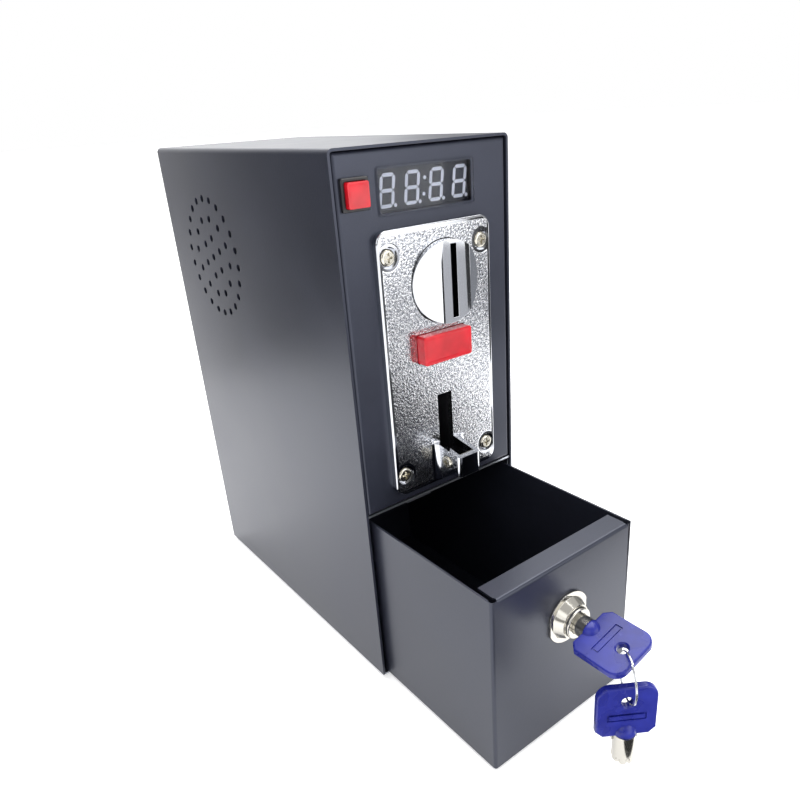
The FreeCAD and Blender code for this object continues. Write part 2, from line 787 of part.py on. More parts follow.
def coin_entry_disc():
    """Round insert with a raised band that carries the coin slot."""
    top = plate_y - disc_height
    disc = rod_y(disc_x, disc_z, disc_radius, top, panel_y)
    low = plate_y - 0.5
    left = disc_x - disc_radius - 1
    right = disc_x + disc_radius + 1
    left_side = [(left, low), (left, top - 1), (ridge_left, top - 1), (ridge_left, top)]
    right_side = [(right, low), (right, top - 1), (ridge_right, top - 1), (ridge_right, top)]
    z0 = disc_z - disc_radius - 1
    z1 = disc_z + disc_radius + 1
    disc = disc.cut(prism_z(left_side, z0, z1)).cut(prism_z(right_side, z0, z1))
    return disc.cut(block_at(slot_x, panel_y, slot_z, slot_width, 30, slot_length))


def faceplate_screws():
    seat = plate_y + recess_depth
    return group([pan_screw_y(x, z, screw_radius, screw_head_radius, 2.3, seat, 10.0)
                  for x, z in plate_screw_points()])


def faceplate_nuts():
    nuts = []
    for x, z in plate_screw_points():
        nut = hex_bar_y(x, z, 7.0, panel_back, panel_back + 3.2)
        nuts.append(nut.cut(rod_y(x, z, screw_radius + shaft_fit, panel_y, panel_back + 5)))
    return group(nuts)


flange_margin = 1.2
flange_wall = 1.5
flange_front = panel_y + button_fit
pocket_depth = 7.7
stem_left = slot_x + slot_width / 2 + 0.45
stem_width = 3.2
stem_height = 6.0
gate_left = slot_x + slot_width / 2 + 0.25
gate_front = acceptor_back - 30.0
wedge_sum = gate_left + gate_front  # the gate's tab lies on x + y = this
gate_wall = 1.4
gate_hinge_x = gate_left + 2.0
gate_hinge_y = acceptor_back - 7.5
gate_low = reject_z - 18.0
gate_high = reject_z + 12.0
gate_pin_radius = 0.8


def reject_button():
    """Cap that stands out of the plate, a flange that keeps it in, and a wedge stem."""
    front = plate_y - reject_proud
    cap = rounded_block_y(reject_x, reject_z, reject_width, reject_height, 1.0, front, flange_front)
    rim = [edge for edge in cap.Edges if abs(edge.CenterOfMass.y - front) < 1e-3]
    cap = cap.makeFillet(0.8, rim)
    back = flange_front + flange_wall
    flange = block_at(reject_x, (flange_front + back) / 2, reject_z,
                      reject_width + 2 * flange_margin, flange_wall,
                      reject_height + 2 * flange_margin)
    reach = wedge_sum - button_fit * 2
    outline = [(stem_left, back - 0.5), (stem_left + stem_width, back - 0.5),
               (stem_left + stem_width, reach - stem_left - stem_width),
               (stem_left, reach - stem_left)]
    stem = prism_z(outline, reject_z - stem_height / 2, reject_z + stem_height / 2)
    return joined([cap, flange, stem])


def reject_spring():
    start = flange_front + flange_wall
    return coil_y(reject_x - 4.0, reject_z, 2.6, 0.35, 3, start, panel_y + pocket_depth)


def acceptor_body():
    """Moulded block with the coin's way in, the way down, the way back out, and room for
    the gate, the button's stem, two sensing coils and the solenoid."""
    body = block(acceptor_left, acceptor_right, panel_y, acceptor_back, acceptor_bottom,
                 acceptor_top)
    slot_half = slot_width / 2
    slot_low = slot_z - slot_length / 2
    slot_high = slot_z + slot_length / 2
    way_back = acceptor_back - way_wall
    way_front = way_back - way_depth
    cuts = [block(slot_x - slot_half, slot_x + slot_half, panel_y - 1, way_back, slot_low - 2,
                  slot_high)]
    cuts.append(block(slot_x - slot_half, slot_x + slot_half, way_front, way_back,
                      acceptor_bottom - 1, slot_low))
    cuts.append(block(return_x - return_width / 2, return_x + return_width / 2, panel_y - 1,
                      way_front - 4.0, return_floor, return_top))
    pocket_half_x = reject_width / 2 + flange_margin + button_fit
    pocket_half_z = reject_height / 2 + flange_margin + button_fit
    cuts.append(block(reject_x - pocket_half_x, reject_x + pocket_half_x, panel_y - 1,
                      panel_y + pocket_depth, reject_z - pocket_half_z, reject_z + pocket_half_z))
    cuts.append(block(stem_left - button_fit, stem_left + stem_width + button_fit, panel_y - 1,
                      wedge_sum - stem_left, reject_z - stem_height / 2 - button_fit,
                      reject_z + stem_height / 2 + button_fit))
    cuts.append(block(slot_x, acceptor_right - 2.6, wedge_sum - stem_left - 6.0, gate_hinge_y + 3.0,
                      gate_low - 0.5, gate_high + 0.5))
    cuts.append(rod_z(gate_hinge_x, gate_hinge_y, gate_pin_radius + 0.02, gate_low - 5,
                      gate_high + 5))
    cuts.append(block(acceptor_left + 3.0, return_x - return_width / 2 - 2.0,
                      acceptor_back - 28.0, acceptor_back - 4.0, return_floor + 8.0,
                      return_floor + 30.0))
    cuts.append(rod_x(plunger_y(), plunger_z(), plunger_radius + 0.3,
                      acceptor_left + 4, slot_x - slot_half + 1))
    for y, z in coil_points():
        cuts.append(rod_x(y, z, coil_radius + 0.2, acceptor_left - 1, slot_x - slot_half - 1.0))
    for x, z in plate_screw_points():
        cuts.append(rod_y(x, z, 6.2, panel_y - 1, panel_back + 12))
    return body.cut(group(cuts))


coil_radius = 6.0
coil_depth = 3.0
plunger_radius = 2.0
plunger_travel = 3.0


def coil_points():
    return [(acceptor_back - 14.0, slot_z - slot_length / 2 - 8.0),
            (acceptor_back - 14.0, slot_z - slot_length / 2 - 24.0)]


def plunger_y():
    return acceptor_back - 16.0


def plunger_z():
    return return_floor + 19.0


def sensor_coils():
    coils = []
    end = slot_x - slot_width / 2 - 1.0
    for y, z in coil_points():
        coil = rod_x(y, z, coil_radius, end - coil_depth, end)
        coils.append(coil.cut(rod_x(y, z, 1.5, end - coil_depth - 1, end - 1)))
    return group(coils)


def solenoid():
    """Coil in a steel yoke, bored for its plunger."""
    left = acceptor_left + 3.0
    right = return_x - return_width / 2 - 2.0
    body = block_at((left + right) / 2 - 0.3, plunger_y(), plunger_z(), right - left - 2.0, 20.0, 18.0)
    return body.cut(rod_x(plunger_y(), plunger_z(), plunger_radius + shaft_fit, left - 1, right + 1))


def solenoid_plunger():
    left = acceptor_left + 5.0
    right = slot_x - slot_width / 2 - 0.4
    return rod_x(plunger_y(), plunger_z(), plunger_radius, left, right)


def acceptor_gate():
    """Wall of the coin's way that opens like a door when the button is pressed."""
    gate = block(gate_left, gate_left + gate_wall, wedge_sum - gate_left, gate_hinge_y, gate_low,
                 gate_high)
    knuckle = rod_z(gate_hinge_x, gate_hinge_y, 2.0, gate_low, gate_high)
    y = wedge_sum - gate_left
    tab = [(gate_left, y), (gate_left + 4.0, y - 4.0), (gate_left + 5.0, y - 3.0),
           (gate_left + gate_wall, y + 0.6)]
    tab = prism_z(tab, reject_z - 5.0, reject_z + 5.0)
    body = joined([gate, knuckle, tab])
    return body.cut(rod_z(gate_hinge_x, gate_hinge_y, gate_pin_radius + 0.06, gate_low - 1,
                          gate_high + 1))


def gate_pin():
    return rod_z(gate_hinge_x, gate_hinge_y, gate_pin_radius, gate_low - 4.5, gate_high + 4.5)


def acceptor_board():
    return block(acceptor_left - board_thickness, acceptor_left, acceptor_back - 34.0,
                 acceptor_back - 2.0, reject_z - 34.0, reject_z + 34.0)


def acceptor_board_parts():
    """Plug socket, switch block, chip and two capacitors on the acceptor's board."""
    face = acceptor_left - board_thickness
    y = acceptor_back - 18.0
    parts = [block(face - 8.0, face, y - 6.0, y + 6.0, reject_z - 32.0, reject_z - 26.0),
             block(face - 4.0, face, y - 5.0, y + 5.0, reject_z - 12.0, reject_z - 2.0),
             block(face - 2.5, face, y - 8.0, y + 8.0, reject_z + 8.0, reject_z + 20.0)]
    parts += [rod_x(y + offset, reject_z - 20.0, 2.5, face - 7.0, face) for offset in (-5.0, 5.0)]
    return parts


def coin_chute():
    """Square tube that leads coins from the acceptor to the hole in the shelf."""
    drop = coin_drop()
    wall = 1.5
    outer = block(drop[0] - wall, drop[1] + wall, drop[2] - wall, drop[3] + wall, shelf_top,
                  acceptor_bottom - 0.3)
    return outer.cut(block(drop[0], drop[1], drop[2], drop[3], shelf_top - 1, acceptor_bottom))


# --- display ------------------------------------------------------------------
window_back = panel_back + 1.0
module_front = window_back + 0.6
module_back = module_front + module_depth


def display_window():
    """Clear cover: a rim that lies on the panel and a step that fills the hole."""
    rim = rounded_block_y(window_x, window_z, window_width, window_height, window_corner,
                          panel_y - window_proud, panel_y)
    edge_loop = [edge for edge in rim.Edges
                 if abs(edge.CenterOfMass.y - panel_y + window_proud) < 1e-3]
    rim = rim.makeChamfer(0.35, edge_loop)
    step = rounded_block_y(window_x, window_z, window_width - 2 * window_rim,
                           window_height - 2 * window_rim, 0.8, panel_y, window_back)
    return rim.fuse(step).removeSplitter()


def display_module():
    return block_at(window_x, (module_front + module_back) / 2, window_z, module_width,
                    module_depth, module_height)


def segment_outline(name):
    """One segment of a digit as (x, z) points about the digit's centre, upright."""
    half_w = digit_width / 2 - segment_width / 2
    half_h = (digit_height - segment_width) / 2
    point = segment_width / 2
    gap = segment_gap
    if name in ("top", "middle", "bottom"):
        z = {"top": half_h, "middle": 0.0, "bottom": -half_h}[name]
        return [(-half_w + gap, z), (-half_w + gap + point, z + point),
                (half_w - gap - point, z + point), (half_w - gap, z),
                (half_w - gap - point, z - point), (-half_w + gap + point, z - point)]
    x = -half_w if "left" in name else half_w
    low = 0.0 if "upper" in name else -half_h
    high = half_h if "upper" in name else 0.0
    return [(x, high - gap), (x + point, high - gap - point), (x + point, low + gap + point),
            (x, low + gap), (x - point, low + gap + point), (x - point, high - gap - point)]


def display_segments():
    """Four slanted digits with their points and the colon, raised on the module's face."""
    names = ("top", "middle", "bottom", "upper left", "upper right", "lower left", "lower right")
    lean = math.tan(math.radians(digit_slant))
    y0 = module_front - segment_lift
    solids = []
    for k in range(4):
        centre = window_x + (k - 1.5) * digit_pitch
        for name in names:
            points = [(centre + x + z * lean, window_z + z) for x, z in segment_outline(name)]
            solids.append(prism_y(points, y0, module_front))
        dot_x = centre + digit_width / 2 + 0.9 - digit_height / 2 * lean
        solids.append(rod_y(dot_x, window_z - digit_height / 2 + 0.8, 0.8, y0, module_front))
    for z in (-3.4, 3.4):
        solids.append(rod_y(window_x + z * lean, window_z + z, 0.8, y0, module_front))
    return group(solids)


def display_corners():
    x = module_width / 2 + 2.6
    z = display_board_height / 2 - 2.8
    return [(window_x + i * x, window_z + k * z) for i in (-1, 1) for k in (-1, 1)]


def display_board():
    board = block_at(window_x, module_back + board_thickness / 2, window_z, display_board_width,
                     board_thickness, display_board_height)
    return board.cut(group([rod_y(x, z, 1.35, module_back - 1, module_back + board_thickness + 1)
                            for x, z in display_corners()]))


def display_standoffs():
    posts = []
    for x, z in display_corners():
        post = rod_y(x, z, 2.2, panel_back, module_back)
        posts.append(post.cut(rod_y(x, z, 1.28, module_back - 6, module_back + 1)))
    return group(posts)


def display_screws():
    screws = []
    for x, z in display_corners():
        screw = pan_screw_y(0, 0, 1.2, 2.3, 1.5, 0, 6.5)
        screw.rotate(Vector(0, 0, 0), along_z, 180)
        screw.translate(Vector(x, module_back + board_thickness, z))
        screws.append(screw)
    return group(screws)


# --- start button -------------------------------------------------------------
start_well = 10.0  # depth of the well that the cap slides in
start_wall = 0.6


def start_neck():
    """Width of the housing behind the panel."""
    return start_cap + 2 * button_fit + 2 * start_wall


def start_button_housing():
    """Square bezel on the panel with a neck behind it and a well for the cap."""
    front = panel_y - start_proud
    bezel = rounded_block_y(start_x, start_z, start_size, start_size, 0.8, front, panel_y)
    rim = [edge for edge in bezel.Edges if abs(edge.CenterOfMass.y - front) < 1e-3]
    bezel = bezel.makeChamfer(0.4, rim)
    neck = block_at(start_x, panel_y + start_depth / 2, start_z, start_neck(), start_depth,
                    start_neck())
    body = bezel.fuse(neck).removeSplitter()
    well = start_cap + 2 * button_fit
    body = body.cut(rounded_block_y(start_x, start_z, well, well, 1.0, front - 1,
                                    front + start_well))
    return body.cut(rod_y(start_x, start_z, 1.6, front, panel_y + start_depth + 1))


def start_cap_back():
    return panel_y + 1.8


def start_button_cap():
    front = panel_y - start_cap_proud
    cap = rounded_block_y(start_x, start_z, start_cap, start_cap, 0.9, front, start_cap_back())
    rim = [edge for edge in cap.Edges if abs(edge.CenterOfMass.y - front) < 1e-3]
    cap = cap.makeFillet(0.6, rim)
    stem = rod_y(start_x, start_z, 1.5, start_cap_back(), panel_y + start_depth + 1.2)
    return joined([cap, stem])


def start_button_spring():
    return coil_y(start_x, start_z, 2.6, 0.25, 4, start_cap_back(),
                  panel_y - start_proud + start_well)


def start_switch():
    """Small switch at the end of the housing, with two solder tags."""
    front = panel_y + start_depth
    body = block_at(start_x, front + 4.0, start_z, start_neck(), 8.0, start_neck())
    tags = [block_at(start_x + sign * 3.0, front + 10.0, start_z, 0.8, 4.1, 2.5)
            for sign in (-1, 1)]
    body = joined([body] + tags)
    return body.cut(rod_y(start_x, start_z, 1.7, front - 1, front + start_travel + 2.0))


# --- speaker ------------------------------------------------------------------
def speaker_frame():
    """Pressed basket behind the grille, with four windows."""
    front = -inner_x
    inner = speaker_radius - speaker_lip
    wall = 0.9
    back = front + speaker_depth
    outline = [(front, speaker_radius), (front + 1.0, speaker_radius), (front + 1.0, inner + 0.6),
               (back, magnet_radius - 1.0), (back, 6.0), (back - wall, 6.0),
               (back - wall, magnet_radius - 2.0), (front + 0.6, inner - 0.4), (front + 0.6, inner + 1.6),
               (front, inner + 1.6)]
    basket = revolved_x(outline, speaker_y, speaker_z)
    windows = []
    for py, pz in polygon_points(4, inner * 0.78, 45.0):
        windows.append(rod_x(speaker_y + py, speaker_z + pz, 6.5, front + 2.5, back + 2))
    return basket.cut(group(windows))


def speaker_cone():
    """Paper cone with its rolled edge and dust cap."""
    front = -inner_x + 0.15
    inner = speaker_radius - speaker_lip
    outline = [(front + 0.05, inner + 1.4), (front + 0.45, inner + 1.4), (front + 0.45, inner - 1.8),
               (front + 9.0, 9.0), (front + 6.5, 5.0), (front + 6.0, 0.0), (front + 5.6, 0.0),
               (front + 6.1, 5.3), (front + 8.4, 9.2), (front + 0.05, inner - 1.6)]
    return revolved_x(outline, speaker_y, speaker_z)


def speaker_magnet():
    start = -inner_x + speaker_depth
    return rod_x(speaker_y, speaker_z, magnet_radius, start, start + magnet_depth)


# --- electronics --------------------------------------------------------------
board_bottom = shelf_top + standoff_height
board_top = board_bottom + board_thickness


def timer_board_corners():
    x = timer_board_width / 2 - 4.0
    y = timer_board_length / 2 - 4.0
    return [(i * x, timer_board_y + k * y) for i in (-1, 1) for k in (-1, 1)]


def timer_board():
    board = block_at(0, timer_board_y, board_bottom + board_thickness / 2, timer_board_width,
                     timer_board_length, board_thickness)
    return board.cut(group([rod_z(x, y, 1.7, board_bottom - 1, board_top + 1)
                            for x, y in timer_board_corners()]))


def board_standoffs():
    """Posts under the board, each with a threaded end and a nut on top."""
    posts = []
    for x, y in timer_board_corners():
        post = rod_z(x, y, standoff_radius, shelf_top, board_bottom)
        stud = rod_z(x, y, 1.5, board_bottom, board_top + 3.0)
        nut = rod_z(x, y, 2.9, board_top, board_top + 2.2)
        posts.append(joined([post, stud, nut]))
    return group(posts)


plug_count = 4
plug_pitch = 13.0
plug_height = 7.0


def plug_points():
    """Middles of the plug sockets' tops on the timer board."""
    y = timer_board_y - timer_board_length / 2 + 5.0
    return [((k - (plug_count - 1) / 2) * plug_pitch, y, board_top + plug_height)
            for k in range(plug_count)]


def timer_board_parts():
    """Chip, capacitors, a sounder and plug sockets on the timer board."""
    z = board_top
    y = timer_board_y
    parts = [block(-6.0, 6.0, y - 12.0, y + 18.0, z, z + 3.5), rod_z(22.0, y - 18.0, 5.0, z, z + 12.0),
             rod_z(22.0, y - 4.0, 4.0, z, z + 11.0), rod_z(-26.0, y - 18.0, 6.0, z, z + 9.0)]
    parts += [block(px - 4.5, px + 4.5, py - 3.0, py + 3.0, z, pz) for px, py, pz in plug_points()]
    return parts


def board_parts():
    return group(timer_board_parts() + acceptor_board_parts())


def relay():
    return block(-30.0, -14.5, timer_board_y - 6.0, timer_board_y + 13.0, board_top, board_top + 12.0)


def terminal_block():
    """Four-way screw terminal with a wire hole and a screw well for each way."""
    x0 = -8.0
    ways = 4
    pitch = 7.5
    back = timer_board_y + timer_board_length / 2 - 2.0
    body = block(x0, x0 + ways * pitch, back - 9.0, back, board_top, board_top + 10.0)
    cuts = []
    for k in range(ways):
        x = x0 + (k + 0.5) * pitch
        cuts.append(block(x - 2.4, x + 2.4, back - 10.0, back - 3.0, board_top + 1.5,
                          board_top + 5.5))
        cuts.append(rod_z(x, back - 4.5, 2.2, board_top + 6.5, board_top + 11))
    return body.cut(group(cuts))


def power_supply():
    """Enclosed supply on the rear panel: a slotted case with a terminal recess below."""
    y1 = rear_inner
    y0 = y1 - supply_depth
    body = block(supply_x - supply_width / 2, supply_x + supply_width / 2, y0, y1,
                 supply_z - supply_height / 2, supply_z + supply_height / 2)
    body = rounded(body, 1.0, along_z, lambda m: m.y < y0 + 1)
    cuts = [block(supply_x - supply_width / 2 + 2, supply_x + supply_width / 2 - 2, y0 - 1, y0 + 12.0,
                  supply_z - supply_height / 2 - 1, supply_z - supply_height / 2 + 9.0)]
    for k in range(7):
        z = supply_z - 18.0 + k * 7.0
        cuts.append(block_at(supply_x, y0, z, supply_width - 14.0, 2.0, 2.4))
    return body.cut(group(cuts))


# --- mains inlet and cable gland ----------------------------------------------
socket_width = 24.4
socket_height = 16.6
socket_depth = 17.0
socket_z = inlet_z - inlet_height / 2 + 2.4 + socket_height / 2
fuse_width = 22.0
fuse_height = 8.0
fuse_z = socket_z + socket_height / 2 + 2.0 + fuse_height / 2
rocker_width = 21.0
rocker_height = 12.0
rocker_z = fuse_z + fuse_height / 2 + 2.0 + rocker_height / 2
inlet_face = rear_y + inlet_flange
inlet_back = rear_y - inlet_depth


def inlet_body():
    """Moulded inlet with a socket, a fuse drawer's well and a switch's well."""
    flange = rounded_block_y(inlet_x, inlet_z, inlet_width + 2 * inlet_rim,
                             inlet_height + 2 * inlet_rim, 2.0, rear_y, inlet_face)
    rim = [edge for edge in flange.Edges if abs(edge.CenterOfMass.y - inlet_face) < 1e-3]
    flange = flange.makeFillet(0.8, rim)
    body = block_at(inlet_x, (inlet_back + rear_y) / 2, inlet_z, inlet_width,
                    rear_y - inlet_back, inlet_height)
    body = flange.fuse(body).removeSplitter()
    half_w = socket_width / 2
    half_h = socket_height / 2
    socket = [(inlet_x - half_w, socket_z - half_h), (inlet_x + half_w, socket_z - half_h),
              (inlet_x + half_w, socket_z + half_h - 4.5), (inlet_x + half_w - 4.5, socket_z + half_h),
              (inlet_x - half_w + 4.5, socket_z + half_h), (inlet_x - half_w, socket_z + half_h - 4.5)]
    cuts = [prism_y(socket, inlet_face - socket_depth, inlet_face + 1)]
    cuts.append(block_at(inlet_x, inlet_face - 10.5 + 0.5, fuse_z, fuse_width + 2 * hole_fit, 22.0,
                         fuse_height + 2 * hole_fit))
    cuts.append(block_at(inlet_x, inlet_face - 6.0, rocker_z, rocker_width + 2 * button_fit, 13.0,
                         rocker_height + 2 * button_fit))
    cuts.append(rod_x(rocker_y(), rocker_z, 1.0 + shaft_fit, inlet_x - rocker_width / 2 - 1.6,
                      inlet_x + rocker_width / 2 + 1.6))
    for x, z in pin_points():
        cuts.append(block_at(x, inlet_back, z, 4.1, 60.0, 2.1))
    return body.cut(group(cuts))


def rocker_y():
    return inlet_face - 2.6


def pin_points():
    return [(inlet_x - 7.0, socket_z - 2.0), (inlet_x + 7.0, socket_z - 2.0),
            (inlet_x, socket_z + 2.0)]


def inlet_pins():
    """Three blades from the socket through to the solder tags."""
    return group([block(x - 2.0, x + 2.0, inlet_back - 7.0, inlet_face - 3.0, z - 1.0, z + 1.0)
                  for x, z in pin_points()])


rocker_angle = 11.0


def inlet_rocker():
    """Switch key with a shallow V face on a cross pin, tipped to its off side."""
    y = rocker_y()
    half = rocker_height / 2 - 0.5
    outline = [(y - 5.5, rocker_z - 2.0), (y - 0.5, rocker_z - half), (y + 3.2, rocker_z - half),
               (y + 1.6, rocker_z), (y + 3.2, rocker_z + half), (y - 0.5, rocker_z + half),
               (y - 5.5, rocker_z + 2.0)]
    key = prism_x(outline, inlet_x - rocker_width / 2, inlet_x + rocker_width / 2)
    pin = rod_x(y, rocker_z, 1.0, inlet_x - rocker_width / 2 - 1.4, inlet_x + rocker_width / 2 + 1.4)
    key = joined([key, pin])
    key.rotate(Vector(inlet_x, y, rocker_z), along_x, -rocker_angle)
    return key


def fuse_drawer():
    """Small pull-out carrier with a finger lip and a fuse lying in it."""
    face = block_at(inlet_x, inlet_face - 1.0 + 0.6, fuse_z, fuse_width - 0.2, 2.2, fuse_height - 0.2)
    tray = block_at(inlet_x, inlet_face - 10.0, fuse_z, fuse_width - 0.2, 17.6, fuse_height - 0.2)
    well = block_at(inlet_x, inlet_face - 10.0, fuse_z + 1.5, fuse_width - 3.0, 7.0, fuse_height)
    lip = block_at(inlet_x, inlet_face + 1.2, fuse_z, 8.0, 1.6, 1.4)
    return joined([face, tray, lip]).cut(well)


def fuse():
    """Glass tube fuse, 5 by 20, lying across its drawer."""
    length = fuse_width - 4.0
    return rod_x(inlet_face - 10.0, fuse_z + 0.5, 2.5, inlet_x - length / 2, inlet_x + length / 2)


def gland_body():
    """Threaded tube with a hexagon outside the panel and a nut inside."""
    tube = rod_y(gland_x, gland_z, gland_radius, rear_inner - 8.0, rear_y + 8.0)
    hexagon = hex_bar_y(gland_x, gland_z, 16.0, rear_y, rear_y + 5.0)
    nut = hex_bar_y(gland_x, gland_z, 17.0, rear_inner - 5.0, rear_inner)
    body = joined([tube, hexagon, nut])
    return body.cut(rod_y(gland_x, gland_z, gland_bore, rear_inner - 9, rear_y + 9))


def gland_cap():
    """Domed cap that squeezes the seal onto a cable."""
    y = rear_y + 5.0
    outline = [(y + 0.3, gland_radius + 0.1), (y + 0.3, 8.0), (y + 5.0, 8.0), (y + 9.5, 5.6),
               (y + 9.5, gland_bore), (y + 3.3, gland_bore), (y + 3.3, gland_radius + 0.1)]
    return revolved_y(outline, gland_x, gland_z)


# --- wiring -------------------------------------------------------------------
def bent_tube(points, radius):
    """A tube along straight runs joined by tangent arcs, as large as the runs allow."""
    points = [Vector(*point) for point in points]
    edges = []
    start = points[0]
    for before, corner, after in zip(points, points[1:], points[2:]):
        back = (before - corner).normalize()
        ahead = (after - corner).normalize()
        turn = math.pi - back.getAngle(ahead)
        shorter = min((before - corner).Length, (after - corner).Length)
        cut = 0.45 * shorter
        bend = cut / math.tan(turn / 2)
        arc_start = corner + back * cut
        arc_end = corner + ahead * cut
        inward = (back + ahead).normalize()
        centre = corner + inward * math.hypot(bend, cut)
        arc_middle = centre - inward * bend
        edges.append(Part.LineSegment(start, arc_start).toShape())
        edges.append(Part.Arc(arc_start, arc_middle, arc_end).toShape())
        start = arc_end
        print("  bend radius", round(bend, 1))
    edges.append(Part.LineSegment(start, points[-1]).toShape())
    path = Part.Wire(edges)
    first = (points[1] - points[0]).normalize()
    section = Part.Wire(Part.makeCircle(radius, points[0], first))
    return path.makePipeShell([section], True, False)


lead_radius = 1.0
mains_radius = 1.2


def wiring():
    """Leads from each device to its plug socket, and the supply's leads in and out."""
    sockets = plug_points()
    board_y = acceptor_back - 18.0
    plug_end = acceptor_left - board_thickness - 8.0
    acceptor_lead = [(plug_end, board_y, 149), (plug_end - 7, board_y, 149),
                     (-41, board_y + 9, 148), (-40, -42, 145), (-32, -18, 142), (-21, 2, 138),
                     (-19.5, 10, 130), sockets[0]]
    start_lead = [(start_x, panel_y + start_depth + 8.0, start_z), (start_x, -58, start_z),
                  (-36, -38, 240), (-28, -20, 215), (-16, -4, 180), (-8, 6, 150),
                  (-6.5, 10, 132), sockets[1]]
    display_lead = [(5, module_back + board_thickness, 245), (5, -70, 245), (5, -50, 238),
                    (5, -30, 220), (5, -12, 190), (6, 2, 160), (6.5, 10, 135), sockets[2]]
    speaker_lead = [(-27, speaker_y, speaker_z - magnet_radius), (-27, speaker_y, 178),
                    (-20, 32, 162), (-2, 22, 150), (14, 12, 142), (19.5, 10, 130), sockets[3]]
    supply_y = rear_inner - supply_depth + 6.0
    ceiling = supply_z - supply_height / 2 + 9.0
    tag_x, tag_z = pin_points()[1]
    mains_lead = [(tag_x, inlet_back - 7.0, tag_z), (tag_x, 50, tag_z), (-4, 42, 140),
                  (6, 44, 150), (13, 56, 160), (14, supply_y, 170), (14, supply_y, ceiling)]
    low_lead = [(30, supply_y, ceiling), (30, supply_y, 170), (29, 60, 152), (25, 50, 134),
                (19.5, 50, 120), (18.25, 60, 112.5), (18.25, 70, 111.7), (18.25, 77, 111.7)]
    leads = [bent_tube(points, lead_radius)
             for points in (acceptor_lead, start_lead, display_lead, speaker_lead)]
    return group(leads + [bent_tube(points, mains_radius) for points in (mains_lead, low_lead)])


pieces = (
    outer_shell, base_chassis, rear_panel, shell_screws, front_panel, divider_shelf,
    strike_bracket, drawer_tray, lock_body, lock_plug, lock_nut, lock_cam, cam_screw, key_ring,
    coin_faceplate, return_stop_screw, coin_entry_disc, faceplate_screws, faceplate_nuts,
    reject_button, reject_spring, acceptor_body, sensor_coils, solenoid, solenoid_plunger,
    acceptor_gate, gate_pin, acceptor_board, coin_chute, display_window,
    display_module, display_segments, display_board, display_standoffs, display_screws,
    start_button_housing, start_button_cap, start_button_spring, start_switch, speaker_frame,
    speaker_cone, speaker_magnet, timer_board, board_standoffs, board_parts, relay,
    terminal_block, power_supply, inlet_body, inlet_pins, inlet_rocker, fuse_drawer, fuse,
    gland_body, gland_cap, wiring,
)


def main():
    os.makedirs("parts", exist_ok=True)
    for piece in pieces:
        save(piece.__name__, piece())
    save("key_bow", placed_key(key_bow_blank()))
    save("key_shank", placed_key(key_shank_blank()))
    save("spare_key_bow", placed_spare(key_bow_blank()))
    save("spare_key_shank", placed_spare(key_shank_blank()))


main()
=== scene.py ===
import json
import math

import bmesh
import bpy
from mathutils import Matrix, Vector


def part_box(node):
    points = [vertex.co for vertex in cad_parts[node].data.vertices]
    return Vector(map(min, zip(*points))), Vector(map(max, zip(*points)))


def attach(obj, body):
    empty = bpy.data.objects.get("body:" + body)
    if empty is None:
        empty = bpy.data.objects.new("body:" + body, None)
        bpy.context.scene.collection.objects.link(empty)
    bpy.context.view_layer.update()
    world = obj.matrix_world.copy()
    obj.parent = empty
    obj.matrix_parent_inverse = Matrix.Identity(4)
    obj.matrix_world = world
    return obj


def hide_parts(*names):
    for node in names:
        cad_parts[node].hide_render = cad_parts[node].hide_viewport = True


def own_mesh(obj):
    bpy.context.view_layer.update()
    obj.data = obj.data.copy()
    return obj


# Coin operated timer box: black powder coated cabinet, chromed coin plate, cash drawer
# standing open with its two tubular keys. X right, Y back, Z up, in metres.

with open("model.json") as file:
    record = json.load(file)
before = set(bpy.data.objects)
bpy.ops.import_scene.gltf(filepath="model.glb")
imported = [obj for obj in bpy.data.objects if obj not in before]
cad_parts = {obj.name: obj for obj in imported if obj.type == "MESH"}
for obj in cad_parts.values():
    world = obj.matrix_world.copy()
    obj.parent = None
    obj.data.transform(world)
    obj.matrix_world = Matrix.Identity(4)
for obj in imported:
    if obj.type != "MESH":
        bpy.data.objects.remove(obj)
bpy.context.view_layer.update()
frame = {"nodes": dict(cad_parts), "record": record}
mm = 0.001
print("frame loaded:", len(frame["nodes"]), "nodes")


def toLinear(hexColour):
    parts = [int(hexColour[i:i + 2], 16) / 255 for i in (1, 3, 5)]
    linear = [c / 12.92 if c <= 0.04045 else ((c + 0.055) / 1.055) ** 2.4 for c in parts]
    return (*linear, 1.0)


def addNode(tree, kind, inputs=None, **settings):
    node = tree.nodes.new(kind)
    for name, value in settings.items():
        setattr(node, name, value)
    for key, value in (inputs or {}).items():
        if isinstance(value, bpy.types.NodeSocket):
            tree.links.new(value, node.inputs[key])
        else:
            node.inputs[key].default_value = value
    return node


def startMaterial(name, shaderInputs):
    material = bpy.data.materials.new(name)
    material.use_nodes = True
    tree = material.node_tree
    shader = tree.nodes["Principled BSDF"]
    for key, value in shaderInputs.items():
        shader.inputs[key].default_value = value
    place = addNode(tree, "ShaderNodeTexCoord").outputs["Object"]
    return material, tree, shader, place


def perMillimetre(size):
    return 1000.0 / size  # texture scale whose features are this many millimetres across


def deselectAll():
    if bpy.context.object and bpy.context.object.mode != "OBJECT":
        bpy.ops.object.mode_set(mode="OBJECT")
    bpy.ops.object.select_all(action="DESELECT")


def makeActive(piece):
    deselectAll()
    piece.select_set(True)
    bpy.context.view_layer.objects.active = piece


def startCube(name, low, high):
    deselectAll()
    centre = [(a + b) / 2 * mm for a, b in zip(low, high)]
    size = [(b - a) * mm for a, b in zip(low, high)]
    bpy.ops.mesh.primitive_cube_add(size=1, location=centre, scale=size)
    return settle(bpy.context.object, name)


